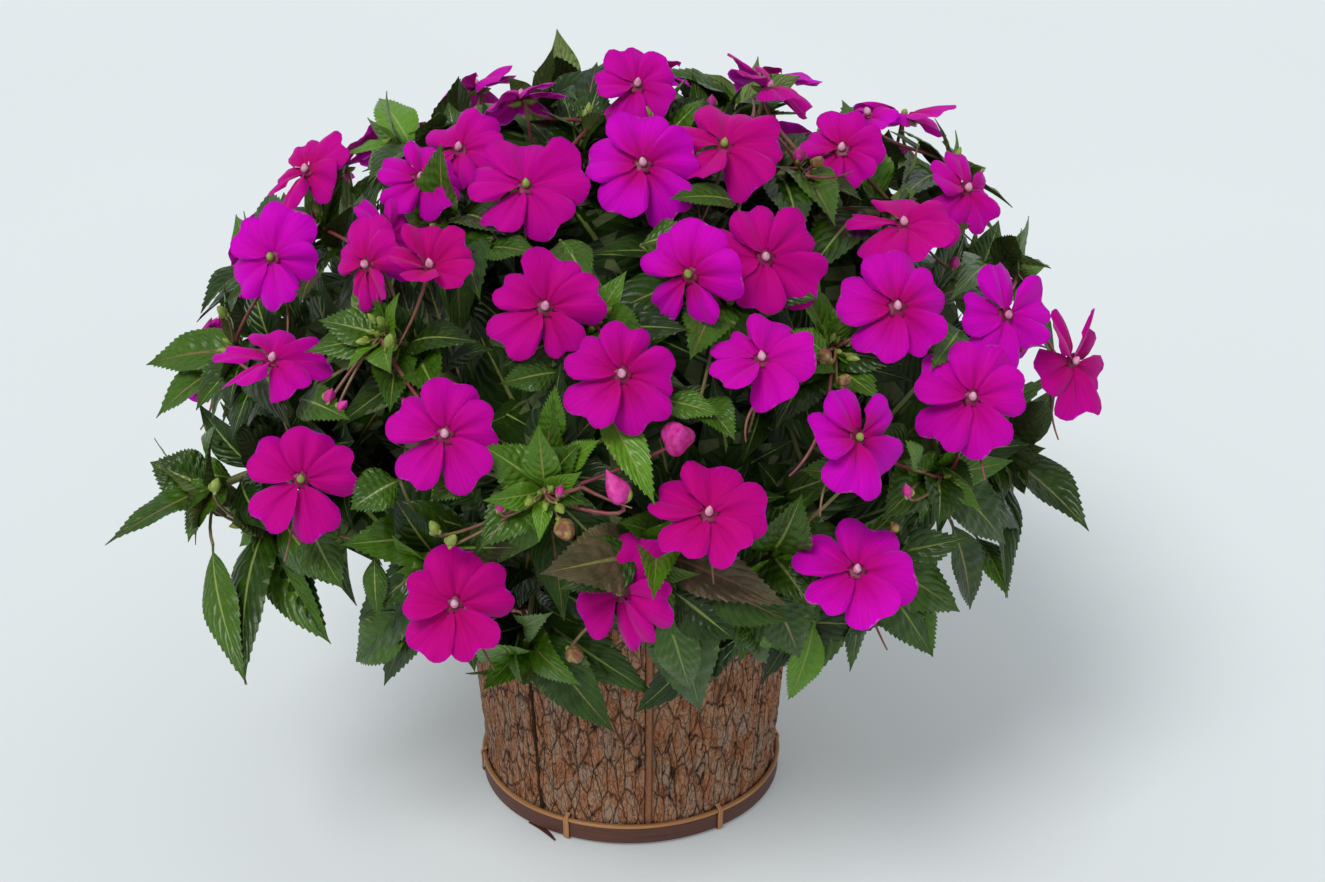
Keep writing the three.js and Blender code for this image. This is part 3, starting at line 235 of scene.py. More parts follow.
# Cracks round plates of one size, as 0 in a crack and 1 on a plate
def crack_lines(width, height, thin, thick):
    place = add(bark, "Mapping", {"Vector": bark_uv, "Scale": (1 / width, 1 / height, 1)})
    wander = add(bark, "TexNoise", {"Vector": place, "Scale": 1.6, "Detail": 3}, out="Color")
    moved = add(
        bark, "VectorMath", {0: wander, 1: (CRACK_WANDER, CRACK_WANDER, 0), 2: place},
        operation="MULTIPLY_ADD",
    )
    near = add(bark, "TexVoronoi", {"Vector": moved, "Scale": 1.0}, feature="DISTANCE_TO_EDGE")
    return add(bark, "MapRange", {"Value": near, "From Min": thin, "From Max": thick}, **EASED)


plate_cracks = crack_lines(PLATE_WIDTH, PLATE_HEIGHT, -0.02, 0.06)
chip_cracks = crack_lines(CHIP_WIDTH, CHIP_HEIGHT, 0.0, 0.06)
bark_grain_place = add(bark, "Mapping", {"Vector": bark_uv, "Scale": (1 / GRAIN_WIDTH, 1 / GRAIN_HEIGHT, 1)})
bark_grain = add(
    bark, "TexNoise", {"Vector": bark_grain_place, "Scale": 1.0, "Detail": 6, "Roughness": 0.65}
)
bark_patch_place = add(bark, "Mapping", {"Vector": bark_uv, "Scale": (1 / PATCH_WIDTH, 1 / PATCH_HEIGHT, 1)})
bark_patch = add(bark, "TexNoise", {"Vector": bark_patch_place, "Scale": 1.0, "Detail": 4})
bark_top = add(bark, "MapRange", {"Value": bark_patch, "From Min": 0.35, "From Max": 0.68}, **EASED)
bark_red_part = add(bark, "MapRange", {"Value": flake_form, "From Min": 0.36, "From Max": 0.58}, **EASED)
bark_plate = add(bark, "Mix", {0: bark_top, 6: BARK_PLATE, 7: BARK_GREY}, **MIXED_COLOUR)
bark_plain = add(bark, "Mix", {0: bark_red_part, 6: BARK_RED, 7: bark_plate}, **MIXED_COLOUR)
# Painted shade, partly the bark's own dark inner colour: the colour darkens down into the furrows, in the
# cracks and along the rise of each flake's step, and turns to the furrow colour there.
furrow_dark_and_painted_shade = add(bark, "MapRange", {"Value": bark_relief, "From Min": -0.05, "From Max": 0.38}, **EASED)
flake_step_painted_shade = add(bark, "MapRange", {"Value": flake_edge, "To Min": 0.42})
chip_crack_dark_and_shade = add(bark, "MapRange", {"Value": chip_cracks, "To Min": 0.8})
furrow_and_step_shade = add(bark, "Math", {0: furrow_dark_and_painted_shade, 1: flake_step_painted_shade}, operation="MULTIPLY")
furrow_step_and_chip_shade = add(bark, "Math", {0: furrow_and_step_shade, 1: chip_crack_dark_and_shade}, operation="MULTIPLY")
plain_share_after_cracks_and_shade = add(bark, "Math", {0: furrow_step_and_chip_shade, 1: plate_cracks}, operation="MULTIPLY")
bark_cracked_and_shaded = add(bark, "Mix", {0: plain_share_after_cracks_and_shade, 6: BARK_FURROW, 7: bark_plain}, **MIXED_COLOUR)
bark_is_strip = add(bark, "Attribute", attribute_name="strip", out="Fac")
bark_colour = add(bark, "Mix", {0: bark_is_strip, 6: bark_cracked_and_shaded, 7: BARK_STRIP}, **MIXED_COLOUR)
bark_shade = add(
    bark, "MapRange", {"Value": bark_grain, "From Min": 0.3, "From Max": 0.7, "To Min": 0.72, "To Max": 1.25}
)
bark_final = add(bark, "VectorMath", {0: bark_colour, 3: bark_shade}, operation="SCALE")
grain_height = add(bark, "Math", {0: bark_grain, 1: 1.1, 2: flake_height}, operation="MULTIPLY_ADD")
chip_height = add(bark, "Math", {0: chip_cracks, 1: 1.2, 2: grain_height}, operation="MULTIPLY_ADD")
plate_height = add(bark, "Math", {0: plate_cracks, 1: 2.4, 2: chip_height}, operation="MULTIPLY_ADD")
bark_skin_height = add(bark, "Mix", {0: bark_is_strip, 2: plate_height, 3: bark_grain})
bark_bump = add(bark, "Bump", {"Height": bark_skin_height, "Strength": 1.0, "Distance": 0.6 * MM})
finish_material(bark, add(
    bark, "BsdfPrincipled",
    {"Base Color": bark_final, "Roughness": 0.9, "IOR": 1.45, "Specular IOR Level": 0.2,
     "Normal": bark_bump},
))


# A share that eases from 0 at the low value to 1 at the high one
def smoothstep(low, high, value):
    share = np.clip((value - low) / (high - low), 0, 1)
    return share * share * (3 - 2 * share)


# How far the bark stands up, from 0 in a furrow to 1 on a plate
def bark_form(arc, height):
    drift = noise.noise((arc / 17, height / 24, 3.1)) * 5 + noise.noise((arc / 5, height / 7, 8.2)) * 1.6
    place = arc + drift
    rise = height + noise.noise((arc / 6, height / 9, 2.7)) * 7
    plates = noise.voronoi((place / PLATE_WIDTH, rise / PLATE_HEIGHT, 0.5))[0]
    plate = float(smoothstep(0.0, 0.11, plates[1] - plates[0]))
    layer = noise.noise((place / 4.2, height / 13, 5.7)) + 0.5 * noise.noise((place / 2, height / 6, 1.9))
    return float(np.clip(0.68 + 0.5 * layer - 0.5 * (1 - plate), 0, 1))


# The planter's outside radius, without the bark's relief
def planter_radius(height):
    return BARK_FOOT_RADIUS + (BARK_RIM_RADIUS - BARK_FOOT_RADIUS) * height / PLANTER_HEIGHT


# Each stave has an outside in relief, walls that turn in round its edge, and a plain lining.
for index, start in enumerate(STAVE_JOINT_ANGLES):
    following = (index + 1) % len(STAVE_JOINT_ANGLES)
    end = STAVE_JOINT_ANGLES[following]
    end += 360 if end < start else 0
    start_gap = math.degrees(STAVE_JOINT_GAPS[index] / 2 / BARK_FOOT_RADIUS)
    end_gap = math.degrees(STAVE_JOINT_GAPS[following] / 2 / BARK_FOOT_RADIUS)
    turns = np.radians(np.linspace(
        start + start_gap, end - end_gap, int(math.radians(end - start) * BARK_RIM_RADIUS / BARK_STEP)
    ))
    rows = int(PLANTER_HEIGHT / BARK_STEP)
    outside, relief, places, strips = [], [], [], []
    for row in range(rows):
        for turn in turns:
            arc = turn * BARK_RIM_RADIUS
            top = PLANTER_HEIGHT - BARK_RIM_DROP + BARK_RIM_WAVE * noise.noise((arc / 6, index * 3.7, 0.4))
            height = top * row / (rows - 1)
            rise = bark_form(arc + index * STAVE_PATTERN_STEP, height)
            from_joint = (turn - turns[0]) * BARK_RIM_RADIUS
            flat = 0
            if index == SMOOTH_STAVE:
                strip_start = SMOOTH_STRIP_WIDTH - SMOOTH_STRIP_EDGE
                flat = 1 - float(smoothstep(strip_start, SMOOTH_STRIP_WIDTH, from_joint))
                strip_rise = SMOOTH_STRIP_RELIEF + 0.06 * noise.noise((arc / 1.1, height / 30, 2))
                rise = rise * (1 - flat) + strip_rise * flat
            strips.append(flat)
            edge = min(from_joint, (turns[-1] - turn) * BARK_RIM_RADIUS)
            round_off = BARK_EDGE_ROUNDING * (1 - float(smoothstep(0, BARK_CUT_EDGE, edge)))
            radius = planter_radius(height) + BARK_SWELL - FURROW_DEPTH * (1 - rise) - round_off
            angle = turn - math.pi / 2
            outside.append((math.cos(angle) * radius, math.sin(angle) * radius, height))
            relief.append(rise)
            places.append((arc, height))
    outside = np.array(outside)
    columns = len(turns)
    ring = np.concatenate([
        np.arange(columns),
        np.arange(1, rows) * columns + columns - 1,
        (rows - 1) * columns + np.arange(columns - 2, -1, -1),
        np.arange(rows - 2, 0, -1) * columns,
    ])
    inward = outside[ring]
    outer_radius = np.linalg.norm(inward[:, :2], axis=1)
    inward[:, :2] *= ((planter_radius(inward[:, 2]) - BARK_THICKNESS) / outer_radius)[:, None]
    lining = []
    for height in np.linspace(0, PLANTER_HEIGHT - LINING_DROP, LINING_ROWS):
        radius = planter_radius(height) - BARK_THICKNESS
        for turn in np.linspace(turns[0], turns[-1], LINING_COLUMNS):
            angle = turn - math.pi / 2
            lining.append((math.cos(angle) * radius, math.sin(angle) * radius, height))
    first_wall = len(outside)
    first_lining = first_wall + len(ring)
    wall = first_wall + np.arange(len(ring))
    faces = np.concatenate([
        grid_faces(rows, columns),
        np.stack([ring, wall, np.roll(wall, -1), np.roll(ring, -1)], axis=1),
        grid_faces(LINING_ROWS, LINING_COLUMNS, first_lining, flip=True),
    ])
    plain = np.zeros((len(ring) + len(lining), 2))
    stave = mesh_object(
        f"stave_{index + 1}", np.concatenate([outside, inward, lining]), faces, [bark],
        uv=np.concatenate([places, plain + inward[0, :2].mean()]),
        values={
            "relief": np.concatenate([relief, np.full(len(plain), CUT_RELIEF)]),
            "strip": np.concatenate([strips, np.zeros(len(plain))]),
        },
    )
    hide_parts(f"bark_stave_{index + 1}")


# Cane hoop
# A flat strip of dark stained cane is bent round the foot of the staves. A light split-cane
# bead lies along its top edge, and light cane ties wrap both at even steps.
HOOP_INNER_RADIUS = 84.5
HOOP_THICKNESS = 2
HOOP_LOW = 1.4
HOOP_HIGH = 11
BEAD_HEIGHT = 2.2
BEAD_THICKNESS = 2.9
TIE_ANGLES = [-84, -24, 36, 96, 156, 216]
TIE_WIDTH = 3.7
TIE_THICKNESS = 1.0
TIE_SIDES = 8
TIE_PINCH = 0.35
TIE_CLEARANCE = 0.3
HOOP_STEPS = 220
CANE_DARK = "6e3c29"
CANE_DARK_STREAK = "3a2018"
CANE_PALE = "c8935c"
CANE_PALE_STREAK = "95603a"
FIBRE_WIDTH = 0.35
FIBRE_LENGTH = 40
HOOP_CORNER = 0.8
HOOP_WOBBLE = 0.0008
BEAD_GAP = 0.3
BEAD_CORNER = 0.95


# Cane: long fibres of two tones with fine grooves between them
def cane_material(name, colour, streak, roughness):
    cane = new_material(name)
    uv = add(cane, "UVMap", uv_map="surface")
    place = add(cane, "Mapping", {"Vector": uv, "Scale": (1 / FIBRE_LENGTH, 1 / FIBRE_WIDTH, 1)})
    fibre = add(cane, "TexNoise", {"Vector": place, "Scale": 1.0, "Detail": 4, "Roughness": 0.6})
    share = add(cane, "MapRange", {"Value": fibre, "From Min": 0.35, "From Max": 0.68})
    mixed = add(cane, "Mix", {0: share, 6: streak, 7: colour}, **MIXED_COLOUR)
    bump = add(cane, "Bump", {"Height": fibre, "Strength": 0.5, "Distance": 0.25 * MM})
    finish_material(cane, add(
        cane, "BsdfPrincipled", {"Base Color": mixed, "Roughness": roughness, "Normal": bump}
    ))
    return cane


# Stained split cane: long fibres, and a satin skin that catches a soft line of light
dark_cane = cane_material("stained_split_cane", CANE_DARK, CANE_DARK_STREAK, 0.5)
# Plain split cane: straw-coloured, with the same fibres
pale_cane = cane_material("plain_split_cane", CANE_PALE, CANE_PALE_STREAK, 0.48)


# A closed profile of radius and height, turned about the planter's axis
def turned(name, profile, steps, material):
    profile = np.array(profile)
    count = len(profile)
    around = np.linspace(0, 2 * math.pi, steps + 1)
    wobble = 1 + HOOP_WOBBLE * (1.5 * np.sin(around * 3 + 0.7) + np.sin(around * 7))
    points = np.stack([
        np.outer(np.cos(around) * wobble, profile[:, 0]),
        np.outer(np.sin(around) * wobble, profile[:, 0]),
        np.outer(np.ones(steps + 1), profile[:, 1]),
    ], axis=2).reshape(-1, 3)
    lengths = np.concatenate([[0], np.cumsum(np.linalg.norm(np.diff(profile, axis=0), axis=1))])
    uv = np.stack([
        np.repeat(around * HOOP_INNER_RADIUS, count), np.tile(lengths, steps + 1)
    ], axis=1)
    faces = grid_faces(steps + 1, count, flip=True)
    return mesh_object(name, points, faces, [material], uv=uv)


# A rectangle of radius and height with rounded corners
def rounded(centre, size, corner, steps=4):
    outline = []
    for turn, (side_r, side_z) in enumerate([(1, -1), (1, 1), (-1, 1), (-1, -1)]):
        for step in range(steps + 1):
            angle = math.pi / 2 * (turn - 1 + step / steps)
            outline.append((
                centre[0] + side_r * (size[0] / 2 - corner) + math.cos(angle) * corner,
                centre[1] + side_z * (size[1] / 2 - corner) + math.sin(angle) * corner,
            ))
    return outline + outline[:1]


bead_low = HOOP_HIGH + BEAD_GAP
hoop_parts = [
    ("cane_strip", "hoop_strip", "dark_cane", dark_cane, HOOP_THICKNESS, HOOP_LOW, HOOP_HIGH, HOOP_CORNER),
    ("cane_bead", "hoop_bead", "pale_cane", pale_cane, BEAD_THICKNESS, bead_low, bead_low + BEAD_HEIGHT,
     BEAD_CORNER),
]
for name, node, slot, cane, thickness, low, high, corner in hoop_parts:
    middle = (HOOP_INNER_RADIUS + thickness / 2, (low + high) / 2)
    part = turned(name, rounded(middle, (thickness, high - low), corner), HOOP_STEPS, cane)
    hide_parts(node)

# Each tie is one turn of split cane, pinched where it crosses the bead.
tie_front = HOOP_INNER_RADIUS + BEAD_THICKNESS + TIE_CLEARANCE
bead_high = bead_low + BEAD_HEIGHT
tie_route = [
    (HOOP_INNER_RADIUS + 0.4, HOOP_LOW - 0.9),
    (tie_front - 1.2, HOOP_LOW - 0.9),
    (tie_front - 0.4, HOOP_LOW),
    (tie_front - 0.5, 6),
    (tie_front - 0.3, HOOP_HIGH - 0.6),
    (tie_front + 0.1, bead_low + 1),
    (tie_front - 0.6, bead_high + 0.5),
    (HOOP_INNER_RADIUS + 0.9, bead_high + 1.1),
    (HOOP_INNER_RADIUS - 0.2, bead_high + 2.4),
]
for index, angle in enumerate(TIE_ANGLES):
    turn = math.radians(angle - 90)
    out = np.array([math.cos(turn), math.sin(turn), 0])
    side = np.array([-math.sin(turn), math.cos(turn), 0])
    rise = np.array([0, 0, 1])
    points, uv = [], []
    for step, (radius, height) in enumerate(tie_route):
        pinch = 1 - TIE_PINCH * math.exp(-((step - 6.5) / 1.2) ** 2)
        ahead = np.array(tie_route[min(step + 1, len(tie_route) - 1)])
        behind = np.array(tie_route[max(step - 1, 0)])
        run = unit(ahead - behind)
        skin = out * run[1] - rise * run[0]
        for around in range(TIE_SIDES):
            turned_by = around / TIE_SIDES * 2 * math.pi
            points.append(
                out * radius + rise * height
                + side * math.cos(turned_by) * TIE_WIDTH / 2 * pinch
                + skin * math.sin(turned_by) * TIE_THICKNESS / 2
            )
            uv.append((step * 2, around * 0.8))
    ring = np.arange(TIE_SIDES)
    beside = (ring + 1) % TIE_SIDES
    faces = np.concatenate([
        first + np.stack([ring, beside, beside + TIE_SIDES, ring + TIE_SIDES], axis=1)
        for first in range(0, (len(tie_route) - 1) * TIE_SIDES, TIE_SIDES)
    ])
    tie = mesh_object(f"cane_tie_{index + 1}", points, faces, [pale_cane], uv=uv)
    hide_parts(f"hoop_tie_{index + 1}")

# Loose cane tail
# A torn end of the hoop's reddish cane. It is a flat split strip of the same stained cane,
# and it lies free on the surface in front of the planter, fixed to nothing.
TAIL_FROM = (531, 822)
TAIL_TO = (554, 841)
TAIL_WIDTH = 3.4
TAIL_THICKNESS = 0.9
TAIL_STEPS = 12
TAIL_BEND = 1.1
TAIL_LIFT = 0.35


# The point on the floor that a pixel of the photograph shows
def floor_point(pixel):
    sight = sight_line(pixel)
    return view_point - sight * view_point[2] / sight[2]


tail_start = unit(floor_point(TAIL_FROM)) * HOOP_INNER_RADIUS
tail_end = floor_point(TAIL_TO)
tail_run = unit(tail_end - tail_start)
tail_side = np.array([-tail_run[1], tail_run[0], 0])
tail_points, tail_uv = [], []
for step in range(TAIL_STEPS):
    share = step / (TAIL_STEPS - 1)
    middle = tail_start + (tail_end - tail_start) * share + tail_side * TAIL_BEND * math.sin(share * 2.6)
    half = TAIL_WIDTH / 2 * (1 - 0.75 * share**3)
    lift = 0.15 + TAIL_LIFT * math.sin(share * math.pi)
    for side, height in ((-1, 0), (1, 0), (1, 1), (-1, 1), (-1, 0)):
        tail_points.append(middle + tail_side * side * half + [0, 0, lift + height * TAIL_THICKNESS * 0.6])
        tail_uv.append((share * 26, side * half + height))
tail = mesh_object(
    "cane_tail", tail_points, grid_faces(TAIL_STEPS, 5), [dark_cane], uv=tail_uv, smooth=False
)
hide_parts("hoop_tail")


# Base disc and rim ring
# A sawn softwood disc carries the pot and takes the nails of the staves, and a bent
# softwood ring inside the rim holds their upper ends.
TIMBER_LIGHT = "b79a70"
TIMBER_DARK = "8b6a45"
GROWTH_RING = 3.2

# Sawn softwood: matte, with growth rings as wide as the saw shows them
softwood = new_material("sawn_softwood")
softwood_place = add(softwood, "TexCoord", out="Object")
softwood_rings = add(
    softwood, "TexWave",
    {"Vector": softwood_place, "Scale": 1 / (GROWTH_RING * MM * 2 * math.pi), "Distortion": 3.0,
     "Detail": 3.0, "Detail Scale": 1.4},
    bands_direction="X", out="Fac"
)
softwood_colour = add(softwood, "Mix", {0: softwood_rings, 6: TIMBER_LIGHT, 7: TIMBER_DARK}, **MIXED_COLOUR)
softwood_bump = add(softwood, "Bump", {"Height": softwood_rings, "Strength": 0.3, "Distance": 0.3 * MM})
finish_material(softwood, add(
    softwood, "BsdfPrincipled", {"Base Color": softwood_colour, "Roughness": 0.75, "Normal": softwood_bump}
))


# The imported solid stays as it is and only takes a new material.
def dress(node, material):
    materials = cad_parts[node].data.materials
    materials.clear()
    materials.append(material)


dress("base_disc", softwood)
dress("rim_ring", softwood)


# Nursery pot and soil
# The plant still stands in the black moulded polypropylene pot that it was raised in, full
# of fibrous peat compost.
NURSERY_BLACK = "17171a"
NURSERY_SCUFF = "34343a"
SOIL_LEVEL = 129
SOIL_MOUND = 5
SOIL_RIM_RADIUS = 73.5
SOIL_FOOT_RADIUS = 59
SOIL_FOOT = 10.8
SOIL_RINGS = 28
SOIL_STEPS = 96
SOIL_LUMPS = 1.3
SOIL_GRAIN = 0.7
SCUFF = 9
SOIL_DARK = "1d130e"
SOIL_LIGHT = "4a3424"
CRUMB = 3.5

# Moulded polypropylene: black with a soft gloss, scuffed grey in places
moulded_black = new_material("moulded_black_polypropylene")
moulded_place = add(moulded_black, "TexCoord", out="Object")
moulded_scuff = add(
    moulded_black, "TexNoise", {"Vector": moulded_place, "Scale": 1 / (SCUFF * MM), "Detail": 5}
)
moulded_share = add(moulded_black, "MapRange", {"Value": moulded_scuff, "From Min": 0.55, "From Max": 0.75})
moulded_colour = add(
    moulded_black, "Mix", {0: moulded_share, 6: NURSERY_BLACK, 7: NURSERY_SCUFF}, **MIXED_COLOUR
)
finish_material(moulded_black, add(
    moulded_black, "BsdfPrincipled", {"Base Color": moulded_colour, "Roughness": 0.42, "IOR": 1.49}
))
dress("nursery_pot", moulded_black)

# Damp peat: dark brown crumbs with lighter fibres
peat = new_material("fibrous_peat_compost")
peat_place = add(peat, "TexCoord", out="Object")
peat_crumbs = add(
    peat, "TexNoise", {"Vector": peat_place, "Scale": 1 / (CRUMB * MM), "Detail": 6, "Roughness": 0.7}
)
peat_share = add(peat, "MapRange", {"Value": peat_crumbs, "From Min": 0.4, "From Max": 0.7})
peat_colour = add(peat, "Mix", {0: peat_share, 6: SOIL_DARK, 7: SOIL_LIGHT}, **MIXED_COLOUR)
peat_bump = add(peat, "Bump", {"Height": peat_crumbs, "Strength": 1.0, "Distance": 2 * MM})
finish_material(peat, add(
    peat, "BsdfPrincipled", {"Base Color": peat_colour, "Roughness": 0.95, "IOR": 1.4, "Normal": peat_bump}
))

soil_bottom = SOIL_FOOT - SOIL_LEVEL
soil_profile = [(SOIL_RIM_RADIUS * step / SOIL_RINGS, 0) for step in range(SOIL_RINGS + 1)]
soil_profile += [(SOIL_RIM_RADIUS - 2, -20), (SOIL_FOOT_RADIUS, soil_bottom), (0, soil_bottom)]
soil_points = []
for radius, drop in soil_profile:
    for around in range(SOIL_STEPS + 1):
        turn = around / SOIL_STEPS * 2 * math.pi
        x, y = math.cos(turn) * radius, math.sin(turn) * radius
        bumps = SOIL_LUMPS * noise.noise((x / 5, y / 5, 1)) + SOIL_GRAIN * noise.noise((x / 2, y / 2, 4))
        level = SOIL_LEVEL + SOIL_MOUND * (1 - (radius / SOIL_RIM_RADIUS) ** 2) + bumps - 1
        soil_points.append((x, y, level if drop == 0 else SOIL_LEVEL + drop))
soil_faces = grid_faces(len(soil_profile), SOIL_STEPS + 1, flip=True)
soil = mesh_object("soil_fill", soil_points, soil_faces, [peat])
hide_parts("soil")


# Stems and leaves
# Twelve fleshy main stems fork into branches that each end in a whorl of lance-shaped,
# finely toothed leaves. The leaves are set close and hide the stems nearly everywhere.
CROWN_CENTRE = np.array([0.0, 0.0, 259.0])
CROWN_RADII = np.array([250.0, 240.0, 163.0])
SHOOT_DEPTH = 0.84
STEM_RADIUS = 3.6
BRANCH_RADIUS = 2.3
HOLE_DEPTH = 42
OUTER_STEMS = 8
INNER_STEMS = 4
OUTER_ROOT_RADIUS = 52
INNER_ROOT_RADIUS = 22
OUTER_FORK = (98, 216)
INNER_FORK = (46, 318)
BRANCH_RISE = 26
UPPER_HEIGHT = 0.66
RULE_SHOOTS = 46
RULE_SPACING = 62
RULE_LOWEST = -0.6
RULE_LEAVES = 4
RULE_LEAF_REACH = 62
RULE_LEAF_LIFT = 14
RULE_LEAF_DROOP = 8
RULE_LEAF_SLIMNESS = 0.38
FAR_SPRAYS = 8
FAR_TOP = 350
FAR_FRONT = -40
FAR_BLOOM_LIFT = 34
FAR_BLOOM_SIDE = 33
FAR_BLOOM_TILT = 0.35
BLOOM_RADIUS = 27
PLAIN_CUP = 0.06
LEAF_DEPTH = 0.97
SMALL_LEAF_FOOT_DEPTH = 0.9
SMALL_LEAF_DEPTH = 0.98
INNER_LEAF_DEPTH = 0.93
DEEP_LEAF_DEPTH = 0.8
LEAF_TONE = 0.2
LEAF_THICKNESS = 0.42
LEAF_ARCH = 0.14
YOUNG_LEAF_ARCH = 0.12
LEAF_FOLD = 0.42
LEAF_CURL = 0.26
LEAF_PILLOW = 0.035
LEAF_WAVE = 0.045
LEAF_STALK_RADIUS = 0.9
FACE_SLOT, BACK_SLOT, STEM_SLOT = range(3)
FINE_LEAF = (43, 7)
FAR_LEAF = (31, 7)
YOUNG_LEAF = (17, 5)
PLAIN_LEAF = (11, 5)
DEEP_LEAF = (9, 3)
VEIN_PAIRS = 9
VEIN_SWEEP = 0.3
TOOTH = 1.4
LEAF_BLOTCH = 14
LEAF_CELL = 1.6
STEM_STREAK = 7
BLOOM_CLEARANCE = 9
BLOOM_REACH = 30
BLOOM_MARGIN = 1.15
PLACING_ANGLE = 2.4
YOUNG_LEAVES = 6
YOUNG_LEAF_REACH = 25
YOUNG_LEAF_GROWTH = 6
YOUNG_LEAF_RISE = 20
YOUNG_LEAF_SLIMNESS = 0.36
INNER_LEAVES = 12
INNER_LEAF_REACH = 58
INNER_LEAF_SLIMNESS = 0.34
INNER_LEAF_TONE = 0.12
DEEP_LEAVES = 9
DEEP_LEAF_REACH = 86
DEEP_LEAF_SLIMNESS = 0.4
DEEP_LEAF_TONE = 0.02
PLANT_SEED = 7043
BRANCH_STEPS = 17
TRUNK_STEPS = 14
LEAF_MATURE = "152b04"
LEAF_BRIGHT = "5a861a"
LEAF_VEIN = "93a556"
LEAF_UNDER = "4c5a34"
LEAF_UNDER_BRIGHT = "7f9450"
LEAF_UNDER_RED = "6a4644"
LEAF_RIB_RED = "8c5048"
LEAF_UNDER_RIB_RED = "8a4a52"
LEAF_FLUSH = "8c7058"
STEM_GREEN = "7f8a4d"
STEM_RED = "7c3340"

